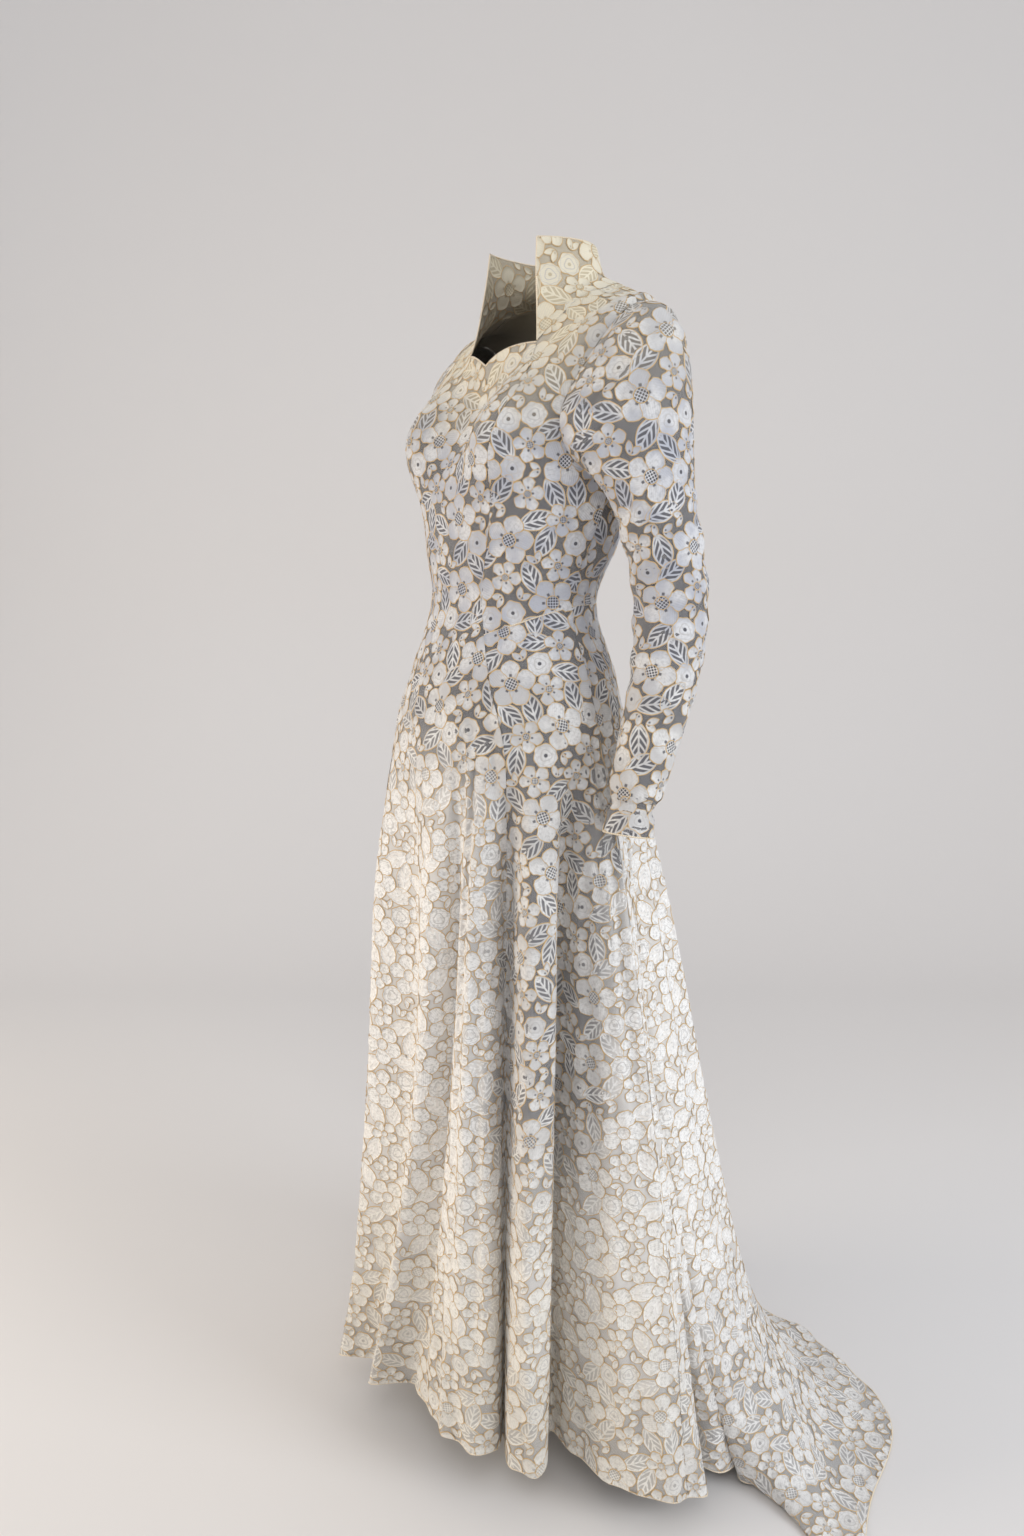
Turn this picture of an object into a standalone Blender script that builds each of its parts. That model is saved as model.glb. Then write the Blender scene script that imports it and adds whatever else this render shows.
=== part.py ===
"""A long-sleeved lace gown with a stand-up collar and a short train, as hollow worn cloth.

Metres, +Z up. The origin is the middle of the shoulder line, -Y is the front and +X the
wearer's left. The body of the gown is one smooth surface, read at an angle round the body
(0 at the centre front, 90 at the wearer's left side, 180 at the centre back) and at a level
(0 at the collar's top edge, LAST_LEVEL at the hem). Each sewn piece is a patch of that
surface, thickened inwards into a wall, and the sleeves are lofted from the armholes.
"""

import functools
import math

import bpy
import numpy as np

WALL = 0.0012
SEAM = 0.0003
STEEPEST_FOLD = 0.35
FLOOR = -1.480
SIDE = 90.0
BACK = 180.0

# The rings that the body passes through, from the collar down to the hip. Each is an ellipse
# that tilts from the front to the side and the back. Its columns are the height in front, at
# the side and behind, the half width, the depth in front and behind, how far the whole ring is
# moved back, and the flatness: 1 for an ellipse, less for a squarer one.
RINGS = {
    "collar top": (0.086, 0.088, 0.082, 0.064, 0.089, 0.050, 0.000, 1.00),
    "collar middle": (0.030, 0.052, 0.050, 0.071, 0.092, 0.062, 0.000, 0.90),
    "neck base": (-0.088, 0.028, 0.022, 0.094, 0.098, 0.080, 0.000, 0.78),
    "shoulder": (-0.112, 0.014, -0.008, 0.130, 0.108, 0.098, 0.000, 0.85),
    "shoulder tip": (-0.132, 0.001, -0.052, 0.165, 0.116, 0.106, -0.002, 1.00),
    "chest": (-0.156, -0.090, -0.110, 0.171, 0.122, 0.110, -0.010, 1.00),
    "underarm": (-0.195, -0.192, -0.180, 0.155, 0.126, 0.106, -0.024, 1.00),
    "under bust": (-0.264, -0.264, -0.264, 0.138, 0.110, 0.105, -0.044, 1.00),
    "waist": (-0.335, -0.335, -0.335, 0.121, 0.092, 0.093, -0.058, 1.00),
    "high hip": (-0.420, -0.420, -0.420, 0.148, 0.118, 0.115, -0.058, 1.00),
    "hip": (-0.508, -0.508, -0.508, 0.171, 0.141, 0.132, -0.059, 1.00),
}
LEVEL = {name: float(i) for i, name in enumerate(RINGS)}
HIP = LEVEL["hip"]

# Below the hip the cloth falls straight to the hanging hem. Each number is how far down.
FALL = (0.20, 0.50, 0.80, 0.87, 0.935, 1.0)
LAST_LEVEL = HIP + len(FALL)

# The hanging hem: one row for each crest, trough and turn of the folds, round from the back.
# Its columns are the angle round the body and the point's x, y and z.
HEM = (
    (-180, 0.020, 0.335, -1.478),
    (-170, -0.060, 0.322, -1.476),
    (-162, -0.100, 0.262, -1.474),
    (-153, -0.150, 0.288, -1.472),
    (-144, -0.205, 0.262, -1.470),
    (-135, -0.200, 0.188, -1.466),
    (-124, -0.258, 0.180, -1.460),
    (-114, -0.270, 0.128, -1.455),
    (-107, -0.232, 0.090, -1.450),
    (-98, -0.278, 0.050, -1.442),
    (-90, -0.300, 0.004, -1.436),
    (-80, -0.273, -0.042, -1.430),
    (-69, -0.212, -0.076, -1.424),
    (-61, -0.158, -0.086, -1.420),
    (-53, -0.196, -0.134, -1.420),
    (-45, -0.200, -0.178, -1.416),
    (-38, -0.150, -0.178, -1.412),
    (-30, -0.160, -0.246, -1.408),
    (-24, -0.112, -0.208, -1.405),
    (-17, -0.078, -0.244, -1.402),
    (-9, -0.040, -0.198, -1.402),
    (2, 0.020, -0.204, -1.405),
    (12, 0.064, -0.206, -1.408),
    (21, 0.106, -0.188, -1.412),
    (26, 0.112, -0.160, -1.415),
    (30, 0.092, -0.138, -1.418),
    (36, 0.138, -0.158, -1.420),
    (42, 0.167, -0.150, -1.422),
    (47, 0.164, -0.120, -1.422),
    (53, 0.120, -0.082, -1.420),
    (61, 0.162, -0.078, -1.422),
    (71, 0.226, -0.069, -1.426),
    (81, 0.275, -0.039, -1.430),
    (90, 0.299, 0.004, -1.436),
    (97, 0.291, 0.038, -1.442),
    (103, 0.288, 0.052, -1.447),
    (108, 0.285, 0.063, -1.452),
    (112, 0.282, 0.070, -1.458),
    (116, 0.282, 0.078, -1.464),
    (119, 0.283, 0.085, -1.469),
    (122, 0.285, 0.092, -1.472),
    (126, 0.288, 0.115, -1.474),
    (131, 0.288, 0.150, -1.476),
    (138, 0.250, 0.222, -1.478),
    (143, 0.224, 0.247, -1.478),
    (148, 0.198, 0.268, -1.478),
    (158, 0.138, 0.288, -1.478),
    (169, 0.085, 0.328, -1.478),
    (180, 0.020, 0.335, -1.478),
)

# The train: where the back's hem lies on the floor, swept to the wearer's left. Its columns are
# the angle, how much of the way the hem has left the hanging hem for the floor, and x and y.
TRAIN = (
    (-180, 1.0, 0.030, 0.402),
    (-168, 1.0, -0.055, 0.392),
    (-154, 1.0, -0.145, 0.352),
    (-140, 0.6, -0.215, 0.280),
    (-124, 0.0, -0.258, 0.180),
    (112, 0.0, 0.285, 0.092),
    (119, 0.0, 0.288, 0.118),
    (122, 1.0, 0.302, 0.130),
    (126, 1.0, 0.366, 0.127),
    (131, 1.0, 0.448, 0.113),
    (138, 1.0, 0.420, 0.196),
    (143, 1.0, 0.372, 0.288),
    (148, 1.0, 0.312, 0.378),
    (157, 1.0, 0.232, 0.402),
    (168, 1.0, 0.130, 0.420),
    (180, 1.0, 0.030, 0.402),
)
# How far towards its place on the floor each of the last levels of the train lies, and how
# high its upper face is there.
TRAIN_REACH = ((0.16, 0.062), (0.52, 0.010), (1.0, WALL))
TRAIN_RIPPLE = 0.003
TRAIN_RIPPLES = 22

# The two small folds between the side and the train, which only open near the hem. The columns
# are the angle and how far the hem has moved there along x and y.
LATE_FOLDS = (
    (-180, 0.000, 0.000),
    (90, 0.000, 0.000),
    (97, 0.000, 0.000),
    (103, -0.050, 0.004),
    (108, -0.010, 0.015),
    (112, -0.018, 0.056),
    (116, -0.036, 0.084),
    (119, -0.012, 0.026),
    (122, 0.000, 0.000),
    (126, 0.000, 0.000),
    (180, 0.000, 0.000),
)
LATE_START = 0.45
LATE_SPEED = 1.5

# The other folds open early. Halfway down they are nearly as deep as at the hem: this is how
# much of their depth at the hem is added there, and over how many degrees a fold is measured.
EARLY_DEPTH = 0.50
FOLD_WINDOW = 18.0
FOLD_STEPS = 9

# The skirt hangs twisted, as its train is swept to one side. The columns are a fold's angle and
# how far round from there it leaves the hip. The twist starts at the waist.
TWIST = (
    (-180, 0.0),
    (-90, 0.0),
    (-61, 3.0),
    (-45, 1.0),
    (-38, 4.0),
    (-30, 9.0),
    (-24, 22.0),
    (-17, 34.0),
    (-9, 33.0),
    (2, 28.0),
    (12, 23.0),
    (21, 19.0),
    (26, 17.5),
    (30, 17.0),
    (36, 18.0),
    (42, 20.0),
    (47, 22.0),
    (53, 21.0),
    (61, 18.0),
    (71, 13.0),
    (81, 8.0),
    (90, 5.0),
    (103, 2.0),
    (119, 0.0),
    (180, 0.0),
)
TWIST_SHARE = {"high hip": 0.5, "hip": 1.0}

# How far the middle of the fall stands from a straight line: the angle, x and y.
FALL_BEND = (
    (-180, 0.000, 0.000),
    (-80, 0.000, 0.000),
    (-53, 0.002, 0.002),
    (-38, 0.004, 0.006),
    (-30, 0.014, 0.008),
    (-24, 0.026, 0.010),
    (-17, 0.030, 0.010),
    (-9, 0.020, 0.006),
    (2, 0.008, 0.000),
    (12, 0.000, 0.000),
    (90, 0.000, 0.000),
    (112, -0.010, -0.012),
    (131, -0.012, -0.014),
    (148, -0.006, -0.008),
    (168, 0.000, 0.000),
    (180, 0.000, 0.000),
)

# The bust of the cut: two rounded cups that the princess seams shape.
CUP = {"x": 0.084, "z": -0.132, "wide": 0.052, "tall": 0.064, "out": 0.044, "fade": 0.05}

# The princess seam's angle at each level, on the wearer's left and right: from the neckline's
# corner, over the cup, to the hem. Below the waist the two differ because the skirt is twisted.
PRINCESS = (
    ("neck base", 50.0, 50.0),
    ("shoulder", 43.0, 43.0),
    ("shoulder tip", 38.0, 38.0),
    ("chest", 34.0, 34.0),
    ("underarm", 32.0, 32.0),
    ("under bust", 29.0, 29.0),
    ("waist", 27.0, 27.0),
    ("high hip", 28.0, 34.0),
    ("hip", 30.0, 45.0),
)
CORNER = PRINCESS[0][1]
LEFT_HEM, RIGHT_HEM = PRINCESS[-1][1:]

# The sweetheart neckline: the height of its notch in the middle and of its two corners, and how
# sharply it dips between them.
NOTCH_Z = -0.054
CORNER_Z = -0.034
NOTCH_SHARPNESS = 2.2

# The waist seam: level round the back and the sides, then dropping to the princess seam.
WAIST_DROP = 0.42
WAIST_DROP_FROM = 100.0
WAIST_DROP_TO = 28.0
WAIST_BEND = 1.4

# The armhole: its reach round the body in front and behind, in degrees, and down it, in levels.
ARMHOLE = {"front": 34.0, "back": 30.0, "middle": LEVEL["chest"], "tall": 1.0}

# The left sleeve's rings below the armhole: the x, y and z of its centre line, its radius
# across the body and its radius from front to back.
SLEEVE = (
    (0.2000, 0.004, -0.235, 0.041, 0.048),
    (0.2070, 0.016, -0.300, 0.041, 0.045),
    (0.2110, 0.016, -0.360, 0.040, 0.044),
    (0.2160, 0.002, -0.425, 0.037, 0.040),
    (0.2200, -0.022, -0.490, 0.033, 0.035),
    (0.2220, -0.040, -0.540, 0.030, 0.032),
    (0.2230, -0.047, -0.562, 0.0265, 0.029),
    (0.2240, -0.053, -0.592, 0.0280, 0.030),
)
SLEEVE_SIDES = 18
CAP_ROWS = 6
# How the sleeve's cap leaves the armhole: its fullness there, how strongly it turns down
# before the first ring, and its direction (outward, forward at the front, up, down below).
CAP_FULLNESS = 0.95
CAP_DROP = 1.1
CAP_LEAVE = {"out": 1.0, "forward": 0.25, "up": 0.10, "down": 0.55}

# The strip over the back's fastening: its width, and how many of the skirt's rows it covers.
PLACKET_WIDTH = 0.022
PLACKET_SKIRT_ROWS = 3

SHOULDER_ROWS = 3

IVORY = (0.86, 0.82, 0.74, 1.0)


def curve_through(values, place):
    """A smooth curve through evenly numbered rows of values, read at each place."""
    values = np.asarray(values, float)
    place = np.clip(np.asarray(place, float), 0.0, len(values) - 1.0)
    row = np.minimum(place.astype(int), len(values) - 2)
    part = place - row
    part = part.reshape(part.shape + (1,) * (values.ndim - 1))
    first = 2 * values[:1] - values[1:2]
    last = 2 * values[-1:] - values[-2:-1]
    padded = np.concatenate([first, values, last])
    before, start, end, after = (padded[row + i] for i in range(4))
    bend = 2 * before - 5 * start + 4 * end - after
    turn = 3 * start - before - 3 * end + after
    return start + 0.5 * part * (end - before + part * (bend + part * turn))


def read_table(table, angle):
    """The columns after the first of a table whose first column is an angle, as a smooth curve."""
    table = np.asarray(table, float)
    turned = (np.asarray(angle, float) + 180.0) % 360.0 - 180.0
    place = np.interp(turned, table[:, 0], np.arange(len(table)))
    return curve_through(table[:, 1:], place)


def ring_point(angle, ring):
    """The points of one ring of RINGS at these angles."""
    z_front, z_side, z_back, half_width, front, back, shift, flatness = RINGS[ring]
    sine = np.sin(np.radians(angle))
    cosine = np.cos(np.radians(angle))
    depth = np.where(cosine > 0, front, back)
    tilt = z_side * sine**2 + 0.5 * cosine * (z_front * (1 + cosine) - z_back * (1 - cosine))
    reach = depth * np.sign(cosine) * np.abs(cosine) ** flatness
    return np.stack([half_width * sine, shift - reach, tilt], axis=-1)


def twisted(angle, ring):
    """Where a fold's angle stands on a ring of the body."""
    return angle + TWIST_SHARE.get(ring, 0.0) * read_table(TWIST, angle)[..., 0]


def fall_points(angle):
    """The points below the hip: down to the hanging hem, or out over the floor."""
    hip = ring_point(twisted(angle, "hip"), "hip")
    hanging = read_table(HEM, angle)
    train = read_table(TRAIN, angle)
    share = np.clip(train[..., :1], 0.0, 1.0)
    window = np.linspace(-FOLD_WINDOW, FOLD_WINDOW, FOLD_STEPS)
    fold = hanging - sum(read_table(HEM, angle + off) for off in window) / FOLD_STEPS
    turn = np.radians(twisted(angle, "hip"))
    out = np.stack([np.sin(turn), -np.cos(turn)], axis=-1)
    fold = np.sum(fold[..., :2] * out, axis=-1, keepdims=True) * out
    bend = read_table(FALL_BEND, angle)
    late = read_table(LATE_FOLDS, angle)
    levels = []
    for part in FALL:
        early = EARLY_DEPTH * math.sin(math.pi * math.sqrt(part))
        opened = max(0.0, (part - LATE_START) / (1 - LATE_START)) ** LATE_SPEED
        aside = early * fold + math.sin(math.pi * part) * bend + opened * late
        aside = np.concatenate([aside, 0 * aside[..., :1]], axis=-1)
        levels.append(hip + part * (hanging - hip) + aside)
    ripple = TRAIN_RIPPLE * (1 + np.sin(np.radians(angle) * TRAIN_RIPPLES)) * share[..., 0]
    for i, (reach, height) in enumerate(TRAIN_REACH):
        flat = hanging[..., :2] + reach * (train[..., 1:] - hanging[..., :2])
        lift = ripple * 4 * reach * (1 - reach)
        laid = np.concatenate([flat, (FLOOR + height + lift)[..., None]], axis=-1)
        level = len(FALL) - len(TRAIN_REACH) + i
        levels[level] = levels[level] + share * (laid - levels[level])
    return levels


def body_point(angle, level):
    """The outer surface of the gown's body at these angles and levels."""
    angle, level = np.broadcast_arrays(np.asarray(angle, float), np.asarray(level, float))
    rings = [ring_point(twisted(angle, ring), ring) for ring in RINGS]
    knots = np.stack(rings + fall_points(angle))
    row = np.clip(level.astype(int), 0, len(knots) - 2)
    part = (level - row)[..., None]
    padded = np.concatenate([2 * knots[:1] - knots[1:2], knots, 2 * knots[-1:] - knots[-2:-1]])
    before, start, end, after = (
        np.take_along_axis(padded, (row + i)[None, ..., None], axis=0)[0] for i in range(4)
    )
    bend = 2 * before - 5 * start + 4 * end - after
    turn = 3 * start - before - 3 * end + after
    point = start + 0.5 * part * (end - before + part * (bend + part * turn))
    for side in (-1, 1):
        across = (point[..., 0] - side * CUP["x"]) / CUP["wide"]
        up = (point[..., 2] - CUP["z"]) / CUP["tall"]
        in_front = np.clip(-point[..., 1] / CUP["fade"], 0.0, 1.0)
        point[..., 1] -= CUP["out"] * in_front * np.exp(-(across**2) - up**2)
    return point


def unit(vectors):
    return vectors / np.linalg.norm(vectors, axis=-1, keepdims=True)


def wall_frame(angle, level, before, after):
    """The surface at each point: the way round it, the way down it, and the way out of it.

    The neighbours stand this many degrees before and after. The way round is between those to
    them, and the way out is longer where the two fold, so that the wall keeps its thickness.
    """
    here = body_point(angle, level)
    arriving = unit(here - body_point(angle - before, level))
    leaving = unit(body_point(angle + after, level) - here)
    small = 1e-3
    above = body_point(angle, np.maximum(level - small, 0.0))
    below = body_point(angle, np.minimum(level + small, LAST_LEVEL))
    down = unit(below - above)
    round_it = unit(arriving + leaving)
    out = unit(np.cross(down, round_it))
    lean = np.sum(out * unit(np.cross(down, arriving)), axis=-1, keepdims=True)
    return round_it, down, out / np.clip(lean, STEEPEST_FOLD, 1.0)


def princess(level, side=1):
    """The princess seam's angle at these levels, on the wearer's left or, as a size, right."""
    known = [LEVEL[row[0]] for row in PRINCESS]
    return np.interp(level, known, [row[1 if side > 0 else 2] for row in PRINCESS])


def level_at(angle, height):
    """The level on the upper body where each angle passes each height."""
    low = np.full(np.shape(angle), LEVEL["shoulder tip"])
    high = np.full(np.shape(angle), 0.0)
    for _ in range(40):
        middle = 0.5 * (low + high)
        under = body_point(angle, middle)[..., 2] < height
        low = np.where(under, middle, low)
        high = np.where(under, high, middle)
    return 0.5 * (low + high)


def neckline_level(angle):
    """The sweetheart neckline: flat from each corner, then dipping to the notch in the middle."""
    part = np.clip(np.abs(angle) / CORNER, 0.0, 1.0)
    height = NOTCH_Z + (CORNER_Z - NOTCH_Z) * (1 - (1 - part) ** NOTCH_SHARPNESS)
    return level_at(angle, height)


def waist_level(angle):
    """The waist seam, which drops from the side towards the princess seam."""
    part = (WAIST_DROP_FROM - np.abs(angle)) / (WAIST_DROP_FROM - WAIST_DROP_TO)
    return LEVEL["waist"] + WAIST_DROP * np.clip(part, 0.0, 1.0) ** WAIST_BEND


def armhole_angle(level, edge):
    """The angle of the armhole's front or back edge, or of the side where there is no hole."""
    off = (np.asarray(level, float) - ARMHOLE["middle"]) / ARMHOLE["tall"]
    half = np.sqrt(np.clip(1 - off**2, 0.0, 1.0))
    return SIDE - ARMHOLE["front"] * half if edge == "front" else SIDE + ARMHOLE["back"] * half


def wall_mesh(name, outer, inner, closed):
    """A closed wall between two grids. Rows run down, columns run round the body."""
    rows, columns = outer.shape[:2]
    number = np.arange(rows * columns).reshape(rows, columns)
    if closed:
        number = np.concatenate([number, number[:, :1]], axis=1)
    under = number + rows * columns
    faces = []
    for i in range(rows - 1):
        for j in range(number.shape[1] - 1):
            # Both faces start from one corner, so that they fold along the same diagonal.
            corners = ((i, j), (i + 1, j), (i + 1, j + 1), (i, j + 1))
            faces.append([number[corner] for corner in corners])
            faces.append([under[corner] for corner in (corners[0], *corners[:0:-1])])
    loops = [(number[0], under[0]), (number[-1][::-1], under[-1][::-1])]
    if not closed:
        loops += [(number[::-1, 0], under[::-1, 0]), (number[:, -1], under[:, -1])]
    for top, bottom in loops:
        for j in range(len(top) - 1):
            faces.append([top[j], top[j + 1], bottom[j + 1], bottom[j]])
    points = np.concatenate([outer.reshape(-1, 3), inner.reshape(-1, 3)])
    mesh = bpy.data.meshes.new(name)
    mesh.from_pydata(points.tolist(), [], [[int(k) for k in face] for face in faces])
    mesh.validate()
    mesh.shade_smooth()
    return mesh


def lace_material(name, colour):
    """Ivory lace: matt, with a little variation of tone between the pieces."""
    material = bpy.data.materials.new(name)
    material.use_nodes = True
    surface = material.node_tree.nodes["Principled BSDF"]
    surface.inputs["Base Color"].default_value = colour
    surface.inputs["Roughness"].default_value = 0.85
    return material


def add_piece(name, outer, inner, closed=False, colour=IVORY):
    mesh = wall_mesh(name, outer, inner, closed)
    mesh.materials.append(lace_material(name, colour))
    piece = bpy.data.objects.new(name, mesh)
    bpy.context.scene.collection.objects.link(piece)
    return piece


def add_patch(name, angle, level, beyond=None, lift=0.0):
    """A sewn piece: the body's surface over this grid of angles and levels.

    Beyond its edges, the next column stands as far as these two steps say, in degrees.
    """
    steps = np.diff(angle, axis=1)
    first, last = beyond or (steps[:, :1], steps[:, -1:])
    before = np.concatenate([first + 0 * steps[:, :1], steps], axis=1)
    after = np.concatenate([steps, last + 0 * steps[:, :1]], axis=1)
    round_it, down, out = wall_frame(angle, level, before, after)
    outer = body_point(angle, level) + lift * out
    outer[:, 0] += SEAM / 2 * round_it[:, 0]
    outer[:, -1] -= SEAM / 2 * round_it[:, -1]
    outer[0] += SEAM / 2 * down[0]
    outer[-1] -= SEAM / 2 * down[-1]
    return add_piece(name, outer, outer - WALL * out)


def hem_columns(left, right):
    """The hem's crests, troughs and the middles between them, from one seam to the next.

    They come as parts of the way across, with the steps to the next columns beyond both seams.
    """
    rows = np.array([row[0] for row in HEM], float)
    angles = np.sort(np.concatenate([rows, (rows[1:] + rows[:-1]) / 2]))
    inside = angles[(angles >= left) & (angles <= right)]
    before = angles[angles < left]
    after = angles[angles > right]
    beyond = (left - before[-1] if len(before) else 5.0, after[0] - right if len(after) else 5.0)
    return (inside - left) / (right - left), beyond


def patch_grid(levels, left, right, part):
    """Angles and levels over a patch whose left and right edges follow these functions."""
    levels = np.asarray(levels, float)
    start = left(levels)[:, None]
    end = right(levels)[:, None]
    return start + (end - start) * part, np.repeat(levels[:, None], len(part), axis=1)


def on_side(side, angle, level):
    """The patch as it is, or its mirror image with the columns still running the same way."""
    return (angle, level) if side > 0 else (-angle[:, ::-1], level[:, ::-1])


def even(columns):
    return np.linspace(0.0, 1.0, columns)


def always(value):
    return lambda level: np.full(np.shape(level), value)


def armhole_levels(steps):
    """Levels from the top of the armhole to its bottom, closer together at both ends."""
    turn = np.linspace(0.0, math.pi, steps)
    return ARMHOLE["middle"] - ARMHOLE["tall"] * np.cos(turn)


def collar_levels():
    return np.linspace(0.0, LEVEL["neck base"], 6)


def bodice_levels():
    """Levels from the shoulder seam, past the armhole, to the waist."""
    return np.concatenate([
        np.linspace(LEVEL["neck base"], LEVEL["shoulder tip"], SHOULDER_ROWS + 1)[:-1],
        armhole_levels(9),
        np.linspace(LEVEL["underarm"], LEVEL["waist"], 5)[1:],
    ])


def skirt_levels():
    """Levels from the waist seam down to the hem."""
    below_hip = np.linspace(HIP, LAST_LEVEL, 2 * len(FALL) + 1)[1:]
    return np.concatenate([np.linspace(LEVEL["waist"], HIP, 4), below_hip])


def drawn_to_waist(angle, level):
    """The levels round the waist, drawn down so that the row at the waist follows its seam."""
    above = (level - LEVEL["underarm"]) / (LEVEL["waist"] - LEVEL["underarm"])
    below = (HIP - level) / (HIP - LEVEL["waist"])
    part = np.clip(np.minimum(above, below), 0.0, 1.0)
    return level + part * (waist_level(angle) - LEVEL["waist"])


def princess_level(level, side=1):
    """The level of each row where it meets the princess seam."""
    return drawn_to_waist(princess(level, side), level)


def princess_edge(level, side=1):
    """The princess seam's angle at the row that starts from this level."""
    return side * princess(princess_level(level, side), side)


def right_princess(level):
    return princess_edge(level, -1)


def front_row(level, part):
    """The angles and levels of one of the front's rows, from the right seam to the left one."""
    start, end = right_princess(level), princess_edge(level)
    right, left = drawn_to_waist(start, level), drawn_to_waist(end, level)
    return start + (end - start) * part, right + (left - right) * part


def add_front():
    """The centre front: one long panel from the sweetheart neckline to the hem."""
    part, beyond = hem_columns(-RIGHT_HEM, LEFT_HEM)
    across = 2 * part - 1
    top = neckline_level(across * CORNER)
    grid = []
    for mixed in np.linspace(0.0, 1.0, SHOULDER_ROWS, endpoint=False):
        level = top + (LEVEL["shoulder tip"] - top) * mixed
        grid.append((across * princess(level), level))
    for level in np.concatenate([bodice_levels()[SHOULDER_ROWS:], skirt_levels()[1:]]):
        grid.append(front_row(level, part))
    angle, level = (np.array([row[i] for row in grid]) for i in range(2))
    add_patch("front_panel", angle, level, beyond)


def add_side_front(side, name):
    """The bodice's side front: from the shoulder seam and the armhole to the slanted waist."""
    left = functools.partial(princess_edge, side=side)
    right = functools.partial(armhole_angle, edge="front")
    angle, level = patch_grid(bodice_levels(), lambda row: side * left(row), right, even(10))
    add_patch(name, *on_side(side, angle, drawn_to_waist(angle, level)))


def add_back_bodice(side, name):
    """Half of the bodice's back: from the shoulder seam and the armhole to the waist."""
    left = functools.partial(armhole_angle, edge="back")
    angle, level = patch_grid(bodice_levels(), left, always(BACK), even(11))
    add_patch(name, *on_side(side, angle, drawn_to_waist(angle, level)))


def add_collar(side, name):
    """Half of the stand-up collar: open in front, joined to the other half behind."""
    angle, level = patch_grid(collar_levels(), always(CORNER), always(BACK), even(14))
    add_patch(name, *on_side(side, angle, level))


def add_skirt_panel(name, left, right, hem_left, hem_right):
    """A panel of the skirt, from the waist seam to the hem."""
    part, beyond = hem_columns(hem_left, hem_right)
    angle, level = patch_grid(skirt_levels(), left, right, part)
    add_patch(name, angle, drawn_to_waist(angle, level), beyond)


def add_placket():
    """The strip that covers the centre back's fastening, laid on the rows of the panels."""
    rows = (collar_levels(), bodice_levels()[1:], skirt_levels()[1:PLACKET_SKIRT_ROWS])
    levels = np.concatenate(rows)
    small = 0.5
    step = body_point(BACK + small, levels) - body_point(BACK - small, levels)
    half = PLACKET_WIDTH / 2 / np.linalg.norm(step, axis=-1)
    part = np.linspace(-1.0, 1.0, 5)
    angle = BACK + half[:, None] * part
    level = np.repeat(levels[:, None], len(part), axis=1)
    add_patch("back_placket", angle, level, lift=SEAM + WALL)


def armhole_loop(turn):
    """Points round the left armhole: from the shoulder tip, down its front, and up its back."""
    sine = np.sin(turn)
    level = ARMHOLE["middle"] - ARMHOLE["tall"] * np.cos(turn)
    angle = SIDE - np.where(sine > 0, ARMHOLE["front"], ARMHOLE["back"]) * sine
    return angle, level


def sleeve_grid(sides, cap_rows):
    """The left sleeve's outer surface: a cap lofted from the armhole, then rings to the wrist."""
    turn = np.linspace(0.0, 2 * math.pi, sides, endpoint=False)
    angle, level = armhole_loop(turn)
    hole = body_point(angle, level)
    leave = np.stack([
        np.full(sides, CAP_LEAVE["out"]),
        -CAP_LEAVE["forward"] * np.sin(turn),
        CAP_LEAVE["up"] + CAP_LEAVE["down"] * (np.cos(turn) - 1) / 2,
    ], axis=-1)
    leave /= np.linalg.norm(leave, axis=-1, keepdims=True)
    start = hole + (SEAM + WALL / 2) * leave
    table = np.array(SLEEVE)
    rings = []
    for place, (x, y, z, across, deep) in enumerate(table):
        ahead = curve_through(table, np.array([place + 0.05]))[0][:3]
        behind = curve_through(table, np.array([place - 0.05]))[0][:3]
        along = (ahead - behind) / np.linalg.norm(ahead - behind)
        outward = np.array([1.0, 0.0, 0.0]) - along[0] * along
        outward /= np.linalg.norm(outward)
        forward = np.cross(along, outward)
        ring = np.array([x, y, z]) + across * np.cos(turn)[:, None] * outward
        rings.append(ring + deep * np.sin(turn)[:, None] * forward)
    first = rings[0]
    down = rings[1] - rings[0]
    down /= np.linalg.norm(down, axis=-1, keepdims=True)
    gap = np.linalg.norm(first - start, axis=-1, keepdims=True)
    grid = []
    for t in np.linspace(0.0, 1.0, cap_rows, endpoint=False):
        blend = (2 * t**3 - 3 * t**2 + 1, t**3 - 2 * t**2 + t, 3 * t**2 - 2 * t**3, t**3 - t**2)
        grid.append(
            blend[0] * start + blend[1] * CAP_FULLNESS * gap * leave
            + blend[2] * first + blend[3] * CAP_DROP * gap * down
        )
    return np.array(grid + rings)


def grid_normals(points):
    """Outward directions over a closed tube's grid, from its neighbours."""
    round_it = np.roll(points, -1, axis=1) - np.roll(points, 1, axis=1)
    down_it = np.gradient(points, axis=0)
    normal = np.cross(down_it, round_it)
    return normal / np.linalg.norm(normal, axis=-1, keepdims=True)


def add_sleeve(side, name):
    outer = sleeve_grid(SLEEVE_SIDES, CAP_ROWS)
    normal = -grid_normals(outer)
    inner = outer - WALL * normal
    if side < 0:
        outer, inner = (grid * np.array([-1.0, 1.0, 1.0]) for grid in (outer, inner))
    else:
        outer, inner = (grid[:, ::-1] for grid in (outer, inner))
    add_piece(name, outer, inner, closed=True)


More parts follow.
